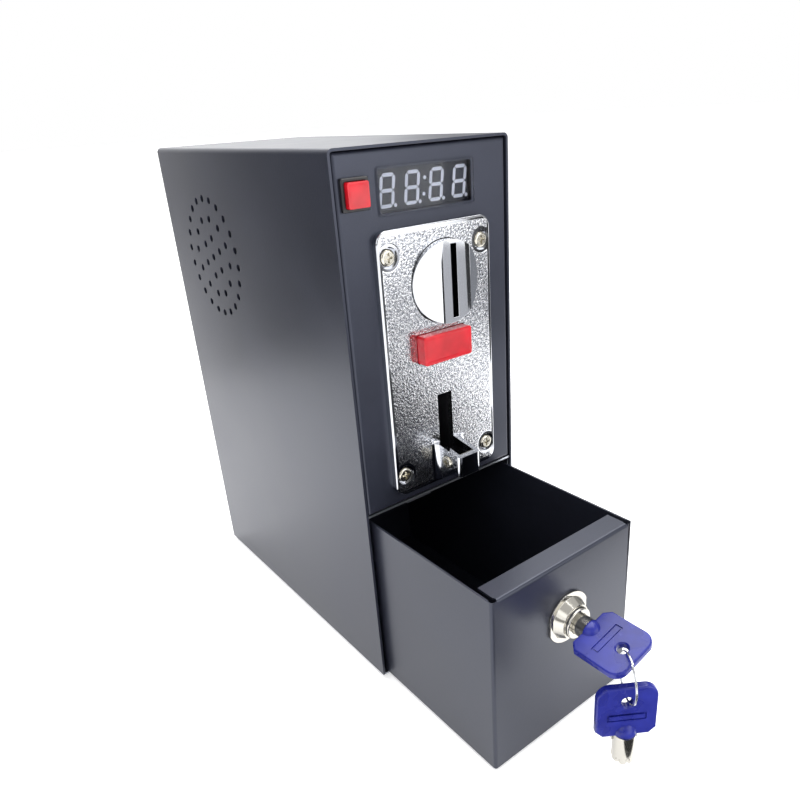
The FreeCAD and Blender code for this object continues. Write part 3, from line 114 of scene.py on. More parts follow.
def startCylinder(name, radius, start, end, verts=48, radiusEnd=None):
    # lies along Y: start and end are (x, y, z) with the same x and z, in millimetres
    deselectAll()
    centre = [(a + b) / 2 * mm for a, b in zip(start, end)]
    depth = abs(end[1] - start[1]) * mm
    bpy.ops.mesh.primitive_cone_add(vertices=verts, radius1=radius * mm,
                                    radius2=(radius if radiusEnd is None else radiusEnd) * mm,
                                    depth=depth, location=centre,
                                    rotation=(-math.pi / 2 if end[1] > start[1] else math.pi / 2,
                                              0, 0))
    return settle(bpy.context.object, name)


def settle(piece, name):
    piece.name = name
    piece.data.name = name
    makeActive(piece)
    bpy.ops.object.transform_apply(location=True, rotation=True, scale=True)
    return piece


def pick(piece, kind, test):
    # selects the faces or edges whose centre (mm) and normal or direction pass the test
    makeActive(piece)
    bpy.ops.object.mode_set(mode="EDIT")
    bpy.ops.mesh.select_mode(type=kind)
    bpy.ops.mesh.select_all(action="DESELECT")
    mesh = bmesh.from_edit_mesh(piece.data)
    for item in (mesh.faces if kind == "FACE" else mesh.edges):
        if kind == "FACE":
            centre, way = item.calc_center_median() / mm, item.normal
        else:
            a, b = item.verts[0].co, item.verts[1].co
            centre, way = (a + b) / 2 / mm, (b - a).normalized()
        item.select_set(bool(test(centre, way)))
    mesh.select_flush_mode()
    bmesh.update_edit_mesh(piece.data)


def leave():
    bpy.ops.object.mode_set(mode="OBJECT")


def bevelEdges(piece, test, width, steps=3):
    pick(piece, "EDGE", test)
    bpy.ops.mesh.bevel(offset=width * mm, segments=steps, affect="EDGES", clamp_overlap=True)
    leave()


def useModifier(piece, kind, **settings):
    makeActive(piece)
    modifier = piece.modifiers.new(kind.title(), kind)
    for name, value in settings.items():
        setattr(modifier, name, value)
    bpy.ops.object.modifier_apply(modifier=modifier.name)


def cutWith(piece, cutter, how="DIFFERENCE"):
    useModifier(piece, "BOOLEAN", object=cutter, operation=how, solver="EXACT")
    bpy.data.objects.remove(cutter)


def softEdges(piece, width, steps=2, angle=40):
    useModifier(piece, "BEVEL", width=width * mm, segments=steps, limit_method="ANGLE",
                angle_limit=math.radians(angle), harden_normals=False)


seam = dict(join=0.004, shortest=0.002, twinJoin=0.002, twinFlat=0.5)  # mm, and degrees


def closeSeams(piece):
    # merges what a cut leaves along its edges, and fills any pin hole
    makeActive(piece)
    bpy.ops.object.mode_set(mode="EDIT")
    bpy.ops.mesh.select_mode(type="VERT")
    bpy.ops.mesh.select_all(action="SELECT")
    bpy.ops.mesh.remove_doubles(threshold=seam["join"] * mm)
    bpy.ops.mesh.dissolve_degenerate(threshold=seam["shortest"] * mm)
    bpy.ops.mesh.select_all(action="DESELECT")
    bpy.ops.mesh.select_non_manifold(extend=False, use_wire=False, use_boundary=True,
                                     use_multi_face=False, use_non_contiguous=False,
                                     use_verts=False)
    bpy.ops.mesh.fill_holes(sides=0)
    leave()


def smooth(piece, angle=32):
    closeSeams(piece)
    makeActive(piece)
    bpy.ops.object.shade_smooth_by_angle(angle=math.radians(angle))
    useModifier(piece, "WEIGHTED_NORMAL", keep_sharp=True, weight=90)


def giveFinish(piece, material):
    piece.data.materials.clear()
    piece.data.materials.append(material)


def seat(piece, material, slotName, body, *nodes):
    giveFinish(piece, material)
    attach(piece, body)
    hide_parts(*nodes)
    return piece


bodyOf = {node: body for body, members in frame["record"]["behaviour"]["bodies"].items()
          for node in members}
slotOf = {part["node"]: part["material_slot"] for part in frame["record"]["subparts"]}


def smoothTwin(node, name, material, edge=0.0, angle=32):
    # a merged copy of a sheet or turned part, with rolled edges and even shading
    deselectAll()
    piece = bpy.data.objects.new(name, frame["nodes"][node].data.copy())
    bpy.context.scene.collection.objects.link(piece)
    piece.data.name = name
    makeActive(piece)
    bpy.ops.object.mode_set(mode="EDIT")
    bpy.ops.mesh.customdata_custom_splitnormals_clear()
    bpy.ops.mesh.select_all(action="SELECT")
    bpy.ops.mesh.remove_doubles(threshold=seam["twinJoin"] * mm)
    bpy.ops.mesh.dissolve_limited(angle_limit=math.radians(seam["twinFlat"]))
    leave()
    if edge:
        softEdges(piece, edge)
    smooth(piece, angle)
    return seat(piece, material, slotOf[node], bodyOf[node], node)


# camera: from the front left, just above the height of the box
viewPoint = dict(place=(-0.2021, -0.3541, 0.2798), turn=(65.747, 3.269, -38.618), lens=32.05,
                 shift=(-0.0386, 0.0372), sensor=36, nearest=0.01, farthest=50)

bpy.ops.object.camera_add(location=viewPoint["place"],
                          rotation=[math.radians(a) for a in viewPoint["turn"]])
camera = bpy.context.object
camera.data.lens = viewPoint["lens"]
camera.data.sensor_width = viewPoint["sensor"]
camera.data.shift_x, camera.data.shift_y = viewPoint["shift"]
camera.data.clip_start = viewPoint["nearest"]
camera.data.clip_end = viewPoint["farthest"]
bpy.context.scene.camera = camera
bpy.context.scene.view_settings.view_transform = "Standard"
print("camera set")

# studio: pale floor, soft lamps and a bright backdrop
studio = dict(floorColour="#fafafa", floorShade="#f5f5f6", floorSize=30.0, floorGlow=0.5,
              backGlow=1.7, roomDim=0.42, backWay=(0.156, 0.9877, 0.0), backEdge=(0.85, 0.9),
              overhead=42.0, leftLamp=4.0, frontLamp=9.5, wash=0.9, washSpread=120,
              aim=(0, -0.03, 0.12))

deselectAll()
bpy.ops.mesh.primitive_plane_add(size=studio["floorSize"], location=(0, 0, 0))
floor = bpy.context.object
floor.name = "studioFloor"
floorPaint, tree, shader, place = startMaterial("matt pale studio floor",
                                                {"Roughness": 0.6,
                                                 "Emission Strength": studio["floorGlow"]})
shader.inputs["Emission Color"].default_value = toLinear(studio["floorColour"])
grain = addNode(tree, "ShaderNodeTexNoise", {"Vector": place, "Scale": 3.0, "Detail": 3.0})
tint = addNode(tree, "ShaderNodeValToRGB", {"Fac": grain.outputs["Fac"]})
tint.color_ramp.elements[0].color = toLinear(studio["floorShade"])
tint.color_ramp.elements[1].color = toLinear(studio["floorColour"])
tree.links.new(tint.outputs["Color"], shader.inputs["Base Color"])
floor.data.materials.append(floorPaint)

world = bpy.data.worlds.new("white studio")
bpy.context.scene.world = world
world.use_nodes = True
tree = world.node_tree
backdrop = tree.nodes["Background"]
heading = addNode(tree, "ShaderNodeTexCoord").outputs["Generated"]
# a bright backdrop behind the box, and a dimmer room to its sides and in front
facing = addNode(tree, "ShaderNodeVectorMath", {0: heading, 1: studio["backWay"]},
                 operation="DOT_PRODUCT")
glow = addNode(tree, "ShaderNodeMapRange", {"Value": facing.outputs["Value"],
                                            "From Min": studio["backEdge"][0],
                                            "From Max": studio["backEdge"][1],
                                            "To Min": studio["roomDim"],
                                            "To Max": studio["backGlow"]},
               interpolation_type="SMOOTHSTEP")
seen = addNode(tree, "ShaderNodeLightPath").outputs["Is Camera Ray"]
level = addNode(tree, "ShaderNodeMix", {"Factor": seen, "A": glow.outputs["Result"], "B": 1.0},
                data_type="FLOAT")
tree.links.new(level.outputs["Result"], backdrop.inputs["Strength"])
backdrop.inputs["Color"].default_value = (1.0, 1.0, 1.0, 1.0)

lamps = {
    "overheadPanel": dict(place=(0.4, 0.35, 1.5), size=1.7, power=studio["overhead"]),
    "leftPanel": dict(place=(-1.3, -0.5, 0.9), size=1.0, power=studio["leftLamp"]),
    "frontPanelLamp": dict(place=(0.42, -1.35, 0.58), size=1.15, power=studio["frontLamp"]),
}
for name, lamp in lamps.items():
    deselectAll()
    bpy.ops.object.light_add(type="AREA", location=lamp["place"])
    light = bpy.context.object
    light.name = name
    light.data.size = lamp["size"]
    light.data.energy = lamp["power"]
    aim = Vector(studio["aim"]) - Vector(lamp["place"])
    light.rotation_euler = aim.to_track_quat("-Z", "Y").to_euler()
deselectAll()
bpy.ops.object.light_add(type="SUN", location=(0, 0, 3), rotation=(0, 0, 0))
bpy.context.object.name = "ceilingWash"
bpy.context.object.data.energy = studio["wash"]
bpy.context.object.data.angle = math.radians(studio["washSpread"])

# flags and bounce cards on stands and on the floor: only the glossy surfaces mirror them
flags = {"leftFlag": dict(start=(-0.20, 0.46), end=(-0.85, 0.02), height=0.5),
         "shortFlag": dict(start=(0.13, -0.52), end=(0.26, -0.52), height=0.13),
         "rightFlag": dict(start=(0.315, -0.44), end=(0.47, -0.44), height=0.19),
         "floorFlag": dict(start=(0.03, -0.42), end=(0.25, -0.42), height=0.0, depth=0.30),
         "keyFlag": dict(start=(-0.09, -0.285), end=(0.03, -0.285), height=0.0, depth=0.10),
         "bounceCard": dict(start=(-0.10, -0.60), end=(0.11, -0.60), height=0.3, glow=2.0),
         "greyCard": dict(start=(0.34, -0.85), end=(0.85, -0.85), height=0.0, depth=0.62,
                          colour="#9a9b9f"),
         "darkCard": dict(start=(0.55, -0.28), end=(1.4, -0.28), height=0.0, depth=0.5,
                          colour="#6d6f74")}
for name, flag in flags.items():
    deselectAll()
    start, end = Vector(flag["start"]), Vector(flag["end"])
    run = end - start
    lying = flag["height"] == 0
    bpy.ops.mesh.primitive_plane_add(size=1, rotation=(0 if lying else math.pi / 2, 0, 0))
    sheet = bpy.context.object
    sheet.name = name
    sheet.scale = (run.length, flag["depth"] if lying else flag["height"], 1)
    sheet.rotation_euler.z = math.atan2(run.y, run.x)
    sheet.location = (*((start + end) / 2), flag["height"] / 2 + 0.002)
    cloth, tree, shader, place = startMaterial(name + " cloth",
                                               {"Roughness": 0.9,
                                                "Emission Strength": flag.get("glow", 0.0)})
    shader.inputs["Base Color"].default_value = toLinear(flag.get("colour", "#1a1a1c"))
    sheet.data.materials.append(cloth)
    sheet.visible_camera = False
    sheet.visible_diffuse = False
    sheet.visible_shadow = False
print("studio ready")


def powderCoat():
    # polyester powder, sprayed and baked on steel: satin, deep blue black, faint orange peel
    coat = dict(dark="#22242d", light="#282a35", cloud=38.0, span=(0.3, 0.75), peel=1.3,
                grit=0.5, roughLow=0.27, roughHigh=0.36, bump=0.35, tall=0.06)
    material, tree, shader, place = startMaterial("satin black powder coat",
                                                  {"IOR": 1.52,
                                                   "Specular Tint": toLinear("#e2e9ff")})
    cloud = addNode(tree, "ShaderNodeTexNoise", {"Vector": place,
                                                 "Scale": perMillimetre(coat["cloud"]),
                                                 "Detail": 4.0, "Roughness": 0.55})
    ramp = addNode(tree, "ShaderNodeValToRGB", {"Fac": cloud.outputs["Fac"]})
    ramp.color_ramp.elements[0].position = coat["span"][0]
    ramp.color_ramp.elements[0].color = toLinear(coat["dark"])
    ramp.color_ramp.elements[1].position = coat["span"][1]
    ramp.color_ramp.elements[1].color = toLinear(coat["light"])
    tree.links.new(ramp.outputs["Color"], shader.inputs["Base Color"])
    sheen = addNode(tree, "ShaderNodeMapRange", {"Value": cloud.outputs["Fac"],
                                                 "To Min": coat["roughLow"],
                                                 "To Max": coat["roughHigh"]})
    tree.links.new(sheen.outputs["Result"], shader.inputs["Roughness"])
    peel = addNode(tree, "ShaderNodeTexNoise", {"Vector": place,
                                                "Scale": perMillimetre(coat["peel"]),
                                                "Detail": 1.0})
    grit = addNode(tree, "ShaderNodeTexNoise", {"Vector": place,
                                                "Scale": perMillimetre(coat["grit"]),
                                                "Detail": 0.0})
    height = addNode(tree, "ShaderNodeMath", {0: peel.outputs["Fac"], 1: grit.outputs["Fac"]},
                     operation="ADD")
    bump = addNode(tree, "ShaderNodeBump", {"Height": height.outputs["Value"],
                                            "Strength": coat["bump"],
                                            "Distance": coat["tall"] * mm})
    tree.links.new(bump.outputs["Normal"], shader.inputs["Normal"])
    return material


def platePebble():
    # chromed zinc casting: mirror bright plating over a fine pebbled face, polished at the
    # rim, round the screw seats and on the beak
    lowest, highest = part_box("coin_faceplate")
    centreX = (lowest.x + highest.x) / 2
    centreZ = (lowest.z + highest.z) / 2
    # painted light: the pebble crests get a lighter colour and the hollows a darker one, a painted
    # highlight and painted shade over the chrome
    cast = dict(paintedCrestHighlight="#e6e7ea", hollow="#9b9ea5", smooth="#c3c5ca", pebble=1.0, rim=2.0,
                seatRadius=6.0, faceY=-0.0994, seatX=0.8, seatReach=26.8, plateY=-99.2,
                seatHeights=(117.2, 222.5), fade=0.5, faceFade=0.125, span=(0.4, 0.58),
                bump=0.8, tall=0.17, rough=(0.07, 0.16))
    material, tree, shader, place = startMaterial("pebbled chrome plate", {"Metallic": 1.0})
    split = addNode(tree, "ShaderNodeSeparateXYZ", {"Vector": place})

    def maths(operation, a, b=0.0, clamp=False):
        return addNode(tree, "ShaderNodeMath", {0: a, 1: b}, operation=operation,
                       use_clamp=clamp).outputs["Value"]

    def inside(axis, middle, half):
        # 1 well inside the band, falling to 0 over its last part, fade wide
        away = maths("ABSOLUTE", maths("SUBTRACT", split.outputs[axis], middle))
        return maths("MULTIPLY", maths("SUBTRACT", half, away), perMillimetre(cast["fade"]),
                     clamp=True)

    mask = maths("MULTIPLY",
                 inside("X", centreX, (highest.x - lowest.x) / 2 - cast["rim"] * mm),
                 inside("Z", centreZ, (highest.z - lowest.z) / 2 - cast["rim"] * mm))
    onFace = maths("MULTIPLY", maths("SUBTRACT", split.outputs["Y"], cast["faceY"]),
                   perMillimetre(cast["faceFade"]), clamp=True)
    mask = maths("MULTIPLY", mask, onFace)
    for sideX in (-cast["seatReach"], cast["seatReach"]):
        for height in cast["seatHeights"]:
            spot = ((cast["seatX"] + sideX) * mm, cast["plateY"] * mm, height * mm)
            gap = addNode(tree, "ShaderNodeVectorMath", {0: place, 1: spot},
                          operation="DISTANCE").outputs["Value"]
            ring = maths("MULTIPLY", maths("SUBTRACT", gap, cast["seatRadius"] * mm),
                         perMillimetre(cast["fade"]), clamp=True)
            mask = maths("MULTIPLY", mask, ring)
    pebbles = addNode(tree, "ShaderNodeTexNoise", {"Vector": place,
                                                   "Scale": perMillimetre(cast["pebble"]),
                                                   "Detail": 2.0, "Roughness": 0.6})
    # the real pebble grain is about half a millimetre: drawn coarser, so that it shows, with a
    # painted highlight on its crests and painted shade in its hollows
    paintedGrainShading = addNode(tree, "ShaderNodeValToRGB", {"Fac": pebbles.outputs["Fac"]})
    paintedGrainShading.color_ramp.elements[0].position = cast["span"][0]
    paintedGrainShading.color_ramp.elements[0].color = toLinear(cast["hollow"])
    paintedGrainShading.color_ramp.elements[1].position = cast["span"][1]
    paintedGrainShading.color_ramp.elements[1].color = toLinear(cast["paintedCrestHighlight"])
    # base colour: plain chrome at the rim and seats, painted highlight and painted shade on the
    # pebbled face
    platingAndPaintedGrainLight = addNode(tree, "ShaderNodeMix", {"Factor": mask, "A": toLinear(cast["smooth"])},
                      data_type="RGBA")
    tree.links.new(paintedGrainShading.outputs["Color"], platingAndPaintedGrainLight.inputs["B"])
    tree.links.new(platingAndPaintedGrainLight.outputs["Result"], shader.inputs["Base Color"])
    height = maths("MULTIPLY", pebbles.outputs["Fac"], mask)
    bump = addNode(tree, "ShaderNodeBump", {"Height": height, "Strength": cast["bump"],
                                            "Distance": cast["tall"] * mm})
    tree.links.new(bump.outputs["Normal"], shader.inputs["Normal"])
    rough = addNode(tree, "ShaderNodeMapRange", {"Value": mask, "To Min": cast["rough"][0],
                                                 "To Max": cast["rough"][1]})
    tree.links.new(rough.outputs["Result"], shader.inputs["Roughness"])
    return material


def polishedMetal(name, colour, roughLow, roughHigh, smear, grain, tall=0.02):
    # plated and buffed metal: the faint wander of the polishing wheel in its gloss
    material, tree, shader, place = startMaterial(name, {"Metallic": 1.0})
    shader.inputs["Base Color"].default_value = toLinear(colour)
    wheel = addNode(tree, "ShaderNodeTexNoise", {"Vector": place, "Scale": perMillimetre(smear),
                                                 "Detail": 3.0})
    rough = addNode(tree, "ShaderNodeMapRange", {"Value": wheel.outputs["Fac"],
                                                 "To Min": roughLow, "To Max": roughHigh})
    tree.links.new(rough.outputs["Result"], shader.inputs["Roughness"])
    fine = addNode(tree, "ShaderNodeTexNoise", {"Vector": place, "Scale": perMillimetre(grain),
                                                "Detail": 1.0})
    bump = addNode(tree, "ShaderNodeBump", {"Height": fine.outputs["Fac"], "Strength": 0.3,
                                            "Distance": tall * mm})
    tree.links.new(bump.outputs["Normal"], shader.inputs["Normal"])
    return material


def mouldedPlastic(name, dark, light, roughLow, roughHigh, grain, tall, shaderInputs=None):
    # injection moulded plastic: even colour with a slow drift, and the mould's own grain
    material, tree, shader, place = startMaterial(name, {"IOR": 1.52, **(shaderInputs or {})})
    drift = addNode(tree, "ShaderNodeTexNoise", {"Vector": place, "Scale": perMillimetre(9.0),
                                                 "Detail": 2.0})
    ramp = addNode(tree, "ShaderNodeValToRGB", {"Fac": drift.outputs["Fac"]})
    ramp.color_ramp.elements[0].position = 0.3
    ramp.color_ramp.elements[0].color = toLinear(dark)
    ramp.color_ramp.elements[1].position = 0.7
    ramp.color_ramp.elements[1].color = toLinear(light)
    tree.links.new(ramp.outputs["Color"], shader.inputs["Base Color"])
    rough = addNode(tree, "ShaderNodeMapRange", {"Value": drift.outputs["Fac"],
                                                 "To Min": roughLow, "To Max": roughHigh})
    tree.links.new(rough.outputs["Result"], shader.inputs["Roughness"])
    spark = addNode(tree, "ShaderNodeTexNoise", {"Vector": place, "Scale": perMillimetre(grain),
                                                 "Detail": 1.0})
    bump = addNode(tree, "ShaderNodeBump", {"Height": spark.outputs["Fac"], "Strength": 0.4,
                                            "Distance": tall * mm})
    tree.links.new(bump.outputs["Normal"], shader.inputs["Normal"])
    return material


def circuitBoard():
    # glass epoxy board under green solder mask: copper tracks show as lighter lines
    board = dict(track=4.0, mask="#0e4526", maskToo="#114d2b", copper="#2c7a49", tall=0.03)
    material, tree, shader, place = startMaterial("green circuit board", {"Roughness": 0.32,
                                                                          "IOR": 1.5})
    tracks = addNode(tree, "ShaderNodeTexBrick", {"Vector": place,
                                                  "Scale": perMillimetre(board["track"]),
                                                  "Mortar Size": 0.05, "Mortar Smooth": 0.1,
                                                  "Color1": toLinear(board["mask"]),
                                                  "Color2": toLinear(board["maskToo"]),
                                                  "Mortar": toLinear(board["copper"])})
    tree.links.new(tracks.outputs["Color"], shader.inputs["Base Color"])
    bump = addNode(tree, "ShaderNodeBump", {"Height": tracks.outputs["Fac"], "Strength": 0.4,
                                            "Distance": board["tall"] * mm})
    tree.links.new(bump.outputs["Normal"], shader.inputs["Normal"])
    return material


def clearAcrylic():
    # cast acrylic sheet, flame polished edge: clear, with faint rubbing marks
    acrylic = dict(tint="#f4f6fa", rub=2.2, rough=(0.01, 0.07))
    material, tree, shader, place = startMaterial("clear acrylic window",
                                                  {"IOR": 1.22, "Transmission Weight": 1.0})
    shader.inputs["Base Color"].default_value = toLinear(acrylic["tint"])
    rub = addNode(tree, "ShaderNodeTexNoise", {"Vector": place,
                                               "Scale": perMillimetre(acrylic["rub"]),
                                               "Detail": 4.0})
    rough = addNode(tree, "ShaderNodeMapRange", {"Value": rub.outputs["Fac"],
                                                 "To Min": acrylic["rough"][0],
                                                 "To Max": acrylic["rough"][1]})
    tree.links.new(rough.outputs["Result"], shader.inputs["Roughness"])
    return material


blackCoat = powderCoat()
pebbledChrome = platePebble()
chrome = polishedMetal("polished chrome", "#c4c6ca", 0.04, 0.1, 6.0, 1.2, 0.004)
nickel = polishedMetal("nickel plated brass", "#c0bdb5", 0.08, 0.2, 3.0, 0.6, 0.006)
platedScrew = polishedMetal("zinc plated screws", "#cbc7bb", 0.14, 0.28, 2.0, 0.5, 0.008)
zincSheet = polishedMetal("bright zinc plated sheet", "#b6bac1", 0.28, 0.42, 7.0, 1.4, 0.01)
springWire = polishedMetal("drawn spring wire", "#8d8f94", 0.25, 0.4, 2.0, 0.3, 0.008)
copperCoil = polishedMetal("enamelled copper winding", "#a4572b", 0.3, 0.45, 2.0, 0.4, 0.02)
supplyCase = polishedMetal("folded aluminium case", "#a7abb0", 0.32, 0.46, 9.0, 0.9, 0.01)
redCap = mouldedPlastic("gloss red polycarbonate", "#a80f1b", "#c61524", 0.1, 0.2, 0.9, 0.006,
                        {"Subsurface Weight": 0.1, "Subsurface Scale": 0.002,
                         "Specular IOR Level": 0.35})
blueGrip = mouldedPlastic("gloss blue ABS", "#1a2075", "#232b8f", 0.22, 0.34, 1.0, 0.008,
                          {"Specular IOR Level": 0.33})
blackMoulding = mouldedPlastic("fine grain black ABS", "#131316", "#1b1b1f", 0.35, 0.5, 0.35, 0.03)
blackNylon = mouldedPlastic("black nylon", "#101012", "#18181b", 0.42, 0.56, 0.6, 0.02)
whiteNylon = mouldedPlastic("natural nylon", "#d5d3c8", "#e2e0d6", 0.35, 0.48, 0.6, 0.02)
smokedModule = mouldedPlastic("smoked display module", "#23252e", "#2b2d38", 0.3, 0.4, 0.45, 0.02,
                              {"Specular IOR Level": 0.15})
segmentWhite = mouldedPlastic("milky segment diffuser", "#b9bcc8", "#cfd1db", 0.35, 0.45, 0.5,
                              0.01)
blackPart = mouldedPlastic("matt component epoxy", "#121214", "#1c1c1f", 0.5, 0.65, 0.3, 0.02)
relayBlue = mouldedPlastic("blue relay case", "#0f3d86", "#154a9b", 0.25, 0.35, 0.8, 0.01)
terminalGreen = mouldedPlastic("green terminal moulding", "#1c6b34", "#247c3e", 0.4, 0.5, 0.6,
                               0.02)
paperCone = mouldedPlastic("pressed speaker paper", "#17171a", "#222226", 0.75, 0.9, 0.8, 0.08)
ferrite = mouldedPlastic("sintered ferrite", "#2a2a2d", "#353538", 0.5, 0.65, 0.5, 0.03)
wireSheath = mouldedPlastic("soft PVC sheath", "#6d1210", "#7f1815", 0.38, 0.5, 1.2, 0.02)
windowClear = clearAcrylic()
fuseGlass = clearAcrylic()
fuseGlass.name = "drawn glass tube"
boardGreen = circuitBoard()
print("materials made")

finishFor = {
    "powder_coated_steel": blackCoat, "zinc_steel": zincSheet, "chromed_zinc": chrome,
    "nickel_brass": nickel, "blue_abs": blueGrip, "red_plastic": redCap,
    "black_plastic": blackMoulding, "clear_acrylic": windowClear, "grey_module": smokedModule,
    "segment_white": segmentWhite, "circuit_board": boardGreen, "component_black": blackPart,
    "relay_blue": relayBlue, "terminal_green": terminalGreen, "spring_steel": springWire,
    "copper_coil": copperCoil, "speaker_paper": paperCone, "ferrite": ferrite,
    "supply_case": supplyCase, "fuse_glass": fuseGlass, "nylon": blackNylon,
    "white_nylon": whiteNylon, "red_wire": wireSheath,
}
for node, piece in frame["nodes"].items():
    giveFinish(piece, finishFor[slotOf[node]])

# sheet and turned parts: each node's piece, its finish and its rolled edge in millimetres
sheetTwins = {
    "outer_shell": ("cabinetShell", blackCoat, 0.25),
    "front_panel": ("frontPanel", blackCoat, 0.2),
    "rear_panel": ("rearPanel", blackCoat, 0.2),
    "drawer_tray": ("cashDrawer", blackCoat, 0.2),
    "coin_faceplate": ("coinPlate", pebbledChrome, 0.0),
    "coin_entry_disc": ("coinDisc", chrome, 0.15),
    "faceplate_screws": ("plateScrews", platedScrew, 0.0),
    "return_stop_screw": ("beakScrew", platedScrew, 0.0),
    "inlet_body": ("mainsInlet", blackMoulding, 0.2),
    "inlet_rocker": ("mainsRocker", blackMoulding, 0.25),
    "inlet_pins": ("inletPins", nickel, 0.2),
    "gland_body": ("glandBody", blackNylon, 0.0),
    "gland_cap": ("glandCap", blackNylon, 0.2),
    "shell_screws": ("shellScrews", zincSheet, 0.0),
    "wiring": ("internalLeads", wireSheath, 0.0),
    "lock_body": ("lockHead", nickel, 0.15),
    "lock_plug": ("lockPlug", chrome, 0.1),
}
for node, (name, material, edge) in sheetTwins.items():
    smoothTwin(node, name, material, edge)

# keys: a moulded grip on a plated brass tube, in millimetres and degrees
key = dict(width=27.0, length=27.0, thick=3.8, corner=6.0, chamfer=3.2, rim=0.9, collar=5.65,
           holeInset=8.2, hole=2.6, recessGap=8.0, recess=(17.4, 4.0), tube=5.1, bore=3.3,
           reach=14.0, seat=0.8, tilt=-14.0, hang=-34.0, domeShape=(0.93, 1.0, 0.8),
           domeEnd=0.8, holeFlare=1.2, dishDeep=1.2, dishSink=0.7, recessDeep=0.5,
           recessCorner=0.5, padMargin=0.9, padDrop=0.15, padDeep=0.35, play=0.05,
           gripEdge=0.18, tubeEdge=0.1, tip=0.35, cuts=(2.5, 3.4, 2.9, 3.8, 2.7, 3.3, 3.0),
           cutRadius=0.9, firstCut=20, lugReach=(0.9, 0.5), lugHalf=(0.9, 0.8), lugEdge=0.25)


def makeGrip(name):
    # lies flat with its root at the origin and its round end towards -Y
    half = key["width"] / 2
    grip = startCube(name, (-half, -key["length"], -key["thick"] / 2),
                     (half, 0, key["thick"] / 2))
    bevelEdges(grip, lambda c, way: abs(way.z) > 0.9 and c.y < -1, key["corner"], 10)
    bevelEdges(grip, lambda c, way: abs(way.z) > 0.9 and c.y > -0.1 and abs(c.x) > half - 0.1,
               key["chamfer"], 1)
    bevelEdges(grip, lambda c, way: abs(way.z) < 0.1 and abs(abs(c.z) - key["thick"] / 2) < 0.01,
               key["rim"], 4)
    deselectAll()
    bpy.ops.mesh.primitive_uv_sphere_add(segments=48, ring_count=24, radius=key["collar"] * mm,
                                         location=(0, -key["seat"] * mm, 0))
    dome = settle(bpy.context.object, "dome")
    makeActive(dome)
    dome.scale = key["domeShape"]
    bpy.ops.object.transform_apply(location=False, rotation=False, scale=True)
    makeActive(dome)
    bpy.ops.object.mode_set(mode="EDIT")
    bpy.ops.mesh.select_all(action="SELECT")
    bpy.ops.mesh.bisect(plane_co=(0, key["domeEnd"] * mm, 0), plane_no=(0, 1, 0), use_fill=True,
                        clear_outer=True)
    leave()
    cutWith(grip, dome, "UNION")
    holeY = -key["length"] + key["holeInset"]
    cutWith(grip, upright(startCylinder("hole", key["hole"], (0, -3, 0), (0, 3, 0), 40), holeY))
    for side in (-1, 1):
        dish = startCylinder("dish", key["hole"], (0, 0, 0), (0, key["dishDeep"], 0), 40,
                             radiusEnd=key["hole"] + key["holeFlare"])
        cutWith(grip, upright(dish, holeY, side, key["thick"] / 2 - key["dishSink"]))
        wide, tall = key["recess"]
        middle = holeY + key["recessGap"]
        face = side * key["thick"] / 2
        slot = startCube("recess", (-wide / 2, middle - tall / 2, face - key["recessDeep"]),
                         (wide / 2, middle + tall / 2, face + key["recessDeep"]))
        bevelEdges(slot, lambda c, way: abs(way.z) > 0.9, key["recessCorner"], 3)
        cutWith(grip, slot)
        padX, padY = wide / 2 - key["padMargin"], tall / 2 - key["padMargin"]
        padTop = face - side * key["padDrop"]
        pad = startCube("pad", (-padX, middle - padY, padTop - key["padDeep"]),
                        (padX, middle + padY, padTop))
        cutWith(grip, pad, "UNION")
    cutWith(grip, startCylinder("socket", key["tube"] + key["play"],
                                (0, -key["seat"] - key["play"], 0), (0, 6, 0), 64))
    softEdges(grip, key["gripEdge"], 2, 35)
    smooth(grip, 35)
    return grip


def upright(piece, along, side=1, lift=0.0):
    # stands a piece made along Y up on Z, at a place along the key
    makeActive(piece)
    piece.matrix_world = (Matrix.Translation((0, along * mm, side * lift * mm))
                          @ Matrix.Rotation(side * math.pi / 2, 4, "X"))
    bpy.ops.object.transform_apply(location=True, rotation=True, scale=True)
    return piece


def makeTube(name, lugs=()):
    # plated brass tube, rounded at the tip, with seven coding cuts and any side lugs asked for
    tube = startCylinder(name, key["tube"], (0, -key["seat"], 0), (0, key["reach"], 0), 72)
    bevelEdges(tube, lambda c, way: abs(way.y) < 0.1 and c.y > key["reach"] - 0.1,
               key["tip"], 3)
    cutWith(tube, startCylinder("bore", key["bore"], (0, 1, 0), (0, key["reach"] + 1, 0), 56))
    for cut in range(len(key["cuts"])):
        turn = math.radians(key["firstCut"] + cut * 360 / len(key["cuts"]))
        deep = key["cuts"][cut]
        spot = (key["tube"] * math.cos(turn), key["tube"] * math.sin(turn))
        cutWith(tube, startCylinder("cut", key["cutRadius"],
                                    (spot[0], key["reach"] - deep, spot[1]),
                                    (spot[0], key["reach"] + 1, spot[1]), 20))
    for side, along in lugs:
        (left, right), (halfLong, halfTall) = key["lugReach"], key["lugHalf"]
        lug = startCube("lug", (side * key["tube"] - left, along - halfLong, -halfTall),
                        (side * key["tube"] + right, along + halfLong, halfTall))
        bevelEdges(lug, lambda c, way: abs(way.y) > 0.9, key["lugEdge"], 2)
        cutWith(tube, lug, "UNION")
    softEdges(tube, key["tubeEdge"], 2, 50)
    smooth(tube, 35)
    return tube


def putAt(piece, matrix):
    makeActive(piece)
    piece.matrix_world = matrix
    bpy.ops.object.transform_apply(location=True, rotation=True, scale=True)
    return piece


def middleOf(node):
    low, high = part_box(node)
    return (low + high) / 2


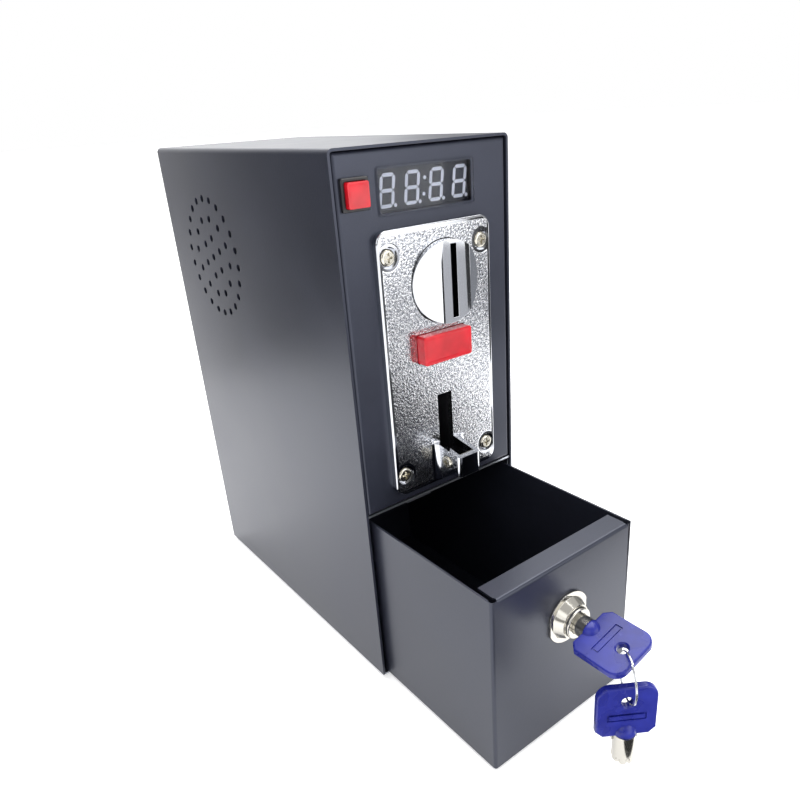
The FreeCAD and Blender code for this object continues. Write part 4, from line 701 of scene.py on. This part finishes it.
lockMiddle = middleOf("lock_nut")
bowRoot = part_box("key_bow")[1].y - key["domeEnd"] * mm
inLock = (Matrix.Translation((lockMiddle.x, bowRoot, lockMiddle.z))
          @ Matrix.Rotation(math.radians(key["tilt"]), 4, "Y"))
ringMiddle = middleOf("key_ring")
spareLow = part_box("spare_key_bow")[1].z - key["length"] * mm
hanging = (Matrix.Translation((ringMiddle.x, ringMiddle.y, spareLow))
           @ Matrix.Rotation(math.radians(key["hang"]), 4, "Z")
           @ Matrix.Rotation(math.radians(-90), 4, "X"))
spareLugs = ((1, 1.6), (-1, 1.6), (1, 9.5))  # side, and place along the tube
for name, piece, place, material, body, node in (
        ("keyGrip", makeGrip("keyGrip"), inLock, blueGrip, "key", "key_bow"),
        ("keyTube", makeTube("keyTube"), inLock, nickel, "key", "key_shank"),
        ("spareGrip", makeGrip("spareGrip"), hanging, blueGrip, "spare_key", "spare_key_bow"),
        ("spareTube", makeTube("spareTube", spareLugs), hanging, nickel, "spare_key",
         "spare_key_shank")):
    seat(putAt(piece, place), material, slotOf[node], body, node)
    print("made", name)

# split ring: two close turns of round wire
ringShape = dict(radius=11.0, wire=0.26, pitch=0.42, turns=2, steps=150, sides=12, yaw=34.0,
                 roll=70.0)
deselectAll()
bpy.ops.mesh.primitive_circle_add(vertices=ringShape["sides"], radius=ringShape["wire"] * mm,
                                  fill_type="NOTHING",
                                  location=(ringShape["radius"] * mm, 0, 0),
                                  rotation=(math.pi / 2, 0, 0))
splitRing = settle(bpy.context.object, "splitRing")
useModifier(splitRing, "SCREW", axis="Z", angle=math.radians(360 * ringShape["turns"]),
            screw_offset=ringShape["pitch"] * ringShape["turns"] * mm, steps=ringShape["steps"],
            render_steps=ringShape["steps"], use_merge_vertices=False)
makeActive(splitRing)
bpy.ops.object.mode_set(mode="EDIT")
bpy.ops.mesh.select_all(action="SELECT")
bpy.ops.transform.translate(value=(0, 0, -ringShape["pitch"] * ringShape["turns"] / 2 * mm))
bpy.ops.mesh.select_mode(type="EDGE")
bpy.ops.mesh.select_all(action="DESELECT")
bpy.ops.mesh.select_non_manifold()
bpy.ops.mesh.edge_face_add()
bpy.ops.mesh.select_all(action="SELECT")
bpy.ops.mesh.normals_make_consistent(inside=False)
leave()
smooth(splitRing, 40)
ringYaw = math.radians(ringShape["yaw"])
ringWay = Vector((-math.cos(ringYaw), math.sin(ringYaw), 0))
putAt(splitRing, Matrix.Translation(ringMiddle)
      @ Matrix.Rotation(math.radians(ringShape["roll"]), 4, ringWay)
      @ ringWay.to_track_quat("Z", "Y").to_matrix().to_4x4())
seat(splitRing, chrome, slotOf["key_ring"], "ring", "key_ring")
print("keys and ring made")


def onOutline(c, low, high, corner):
    # true on the rounded outline of a cap's face, false on the inset lines within it
    sideX = min(abs(c.x - low[0]), abs(c.x - high[0]))
    sideZ = min(abs(c.z - low[2]), abs(c.z - high[2]))
    return min(sideX, sideZ) < 0.01 or (sideX < corner and sideZ < corner)


def makePress(name, low, high, shape):
    # a moulded cap: rounded block, wide soft rim, and a face that sits slightly lower
    cap = startCube(name, low, high)
    pick(cap, "FACE", lambda c, way: way.y < -0.99)
    bpy.ops.mesh.inset(thickness=shape["wall"] * mm)
    bpy.ops.mesh.inset(thickness=shape["dish"] * 1.5 * mm, depth=-shape["dish"] * mm)
    leave()
    bevelEdges(cap, lambda c, way: abs(way.y) > 0.9 and onOutline(c, low, high, 0.01),
               shape["corner"], 6)
    bevelEdges(cap, lambda c, way: (abs(way.y) < 0.1 and c.y < low[1] + 0.01
                                    and onOutline(c, low, high, shape["corner"])),
               shape["rim"], 5)
    return cap


# reject button: cap, then the flange, neck and wedge ended stem behind it, in millimetres
rejectShape = dict(corner=1.2, rim=0.8, dish=0.2, wall=1.5, width=28.6, height=13.8, plate=3.5,
                   behind=2.6, flange=(3.8, 5.3), flangeCorner=0.8, neck=(2.4, 4.0),
                   neckMargin=0.4, stem=(9.2, 12.4), stemStart=5.0, stemHalf=3.0, wedge=3.2)
low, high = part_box("reject_button")
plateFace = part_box("coin_faceplate")[1].y / mm - rejectShape["plate"]
halfX, halfZ = rejectShape["width"] / 2, rejectShape["height"] / 2
middleX, middleZ = (low.x + high.x) / 2 / mm, (low.z + high.z) / 2 / mm
rejectCap = makePress("rejectCap", (middleX - halfX, low.y / mm, middleZ - halfZ),
                      (middleX + halfX, plateFace + rejectShape["behind"], middleZ + halfZ),
                      rejectShape)
front, back = (plateFace + y for y in rejectShape["flange"])
flange = startCube("flange", (low.x / mm, front, low.z / mm), (high.x / mm, back, high.z / mm))
bevelEdges(flange, lambda c, way: abs(way.y) > 0.9, rejectShape["flangeCorner"], 3)
front, back = (plateFace + y for y in rejectShape["neck"])
neckX, neckZ = halfX - rejectShape["neckMargin"], halfZ - rejectShape["neckMargin"]
neck = startCube("neck", (middleX - neckX, front, middleZ - neckZ),
                 (middleX + neckX, back, middleZ + neckZ))
stemLeft, stemRight = rejectShape["stem"]
stemEnd = high.y / mm - rejectShape["wedge"]
stemLow, stemHigh = middleZ - rejectShape["stemHalf"], middleZ + rejectShape["stemHalf"]
stem = startCube("stem", (stemLeft, plateFace + rejectShape["stemStart"], stemLow),
                 (stemRight, stemEnd, stemHigh))
pick(stem, "EDGE", lambda c, way: (abs(way.z) > 0.9 and c.y > stemEnd - 0.1
                                   and c.x < stemLeft + 0.1))
bpy.ops.transform.translate(value=(0, rejectShape["wedge"] * mm, 0))
leave()
for part in (flange, neck, stem):
    cutWith(rejectCap, part, "UNION")
smooth(rejectCap, 38)
seat(rejectCap, redCap, slotOf["reject_button"], "reject", "reject_button")

# start button: a shallow cap on a narrower stem
startShape = dict(corner=0.8, rim=0.5, wall=1.1, dish=0.25, deep=4.5, stemInset=1.6)
low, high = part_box("start_button_cap")
low, high = [v / mm for v in low], [v / mm for v in high]
startCap = makePress("startCap", low, (high[0], low[1] + startShape["deep"], high[2]), startShape)
pick(startCap, "FACE", lambda c, way: way.y > 0.99)
bpy.ops.mesh.inset(thickness=startShape["stemInset"] * mm)
bpy.ops.mesh.extrude_region_move(TRANSFORM_OT_translate={
    "value": (0, (high[1] - low[1] - startShape["deep"]) * mm, 0)})
leave()
smooth(startCap, 38)
seat(startCap, redCap, slotOf["start_button_cap"], "start_cap", "start_button_cap")

# display window: a flat pane with rounded corners and a soft front edge
windowShape = dict(corner=1.5, rim=0.35)
low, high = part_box("display_window")
low, high = [v / mm for v in low], [v / mm for v in high]
window = startCube("displayWindow", low, high)
bevelEdges(window, lambda c, way: abs(way.y) > 0.9, windowShape["corner"], 6)
bevelEdges(window, lambda c, way: abs(way.y) < 0.1 and c.y < low[1] + 0.01, windowShape["rim"], 2)
smooth(window, 25)
seat(window, windowClear, slotOf["display_window"], bodyOf["display_window"], "display_window")
print("buttons and window made")

# each spring: a smoothed copy with a mesh of its own; its shortening towards its seat as its
# button goes in is not made here
springs = {"reject_spring": dict(name="rejectSpring", joint="reject_press", travel=3.5),
           "start_button_spring": dict(name="startSpring", joint="start_press", travel=1.5)}
for node, spring in springs.items():
    coil = smoothTwin(node, spring["name"], springWire, 0.0, 60)
    low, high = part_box(node)
    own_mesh(coil)
print("springs made")
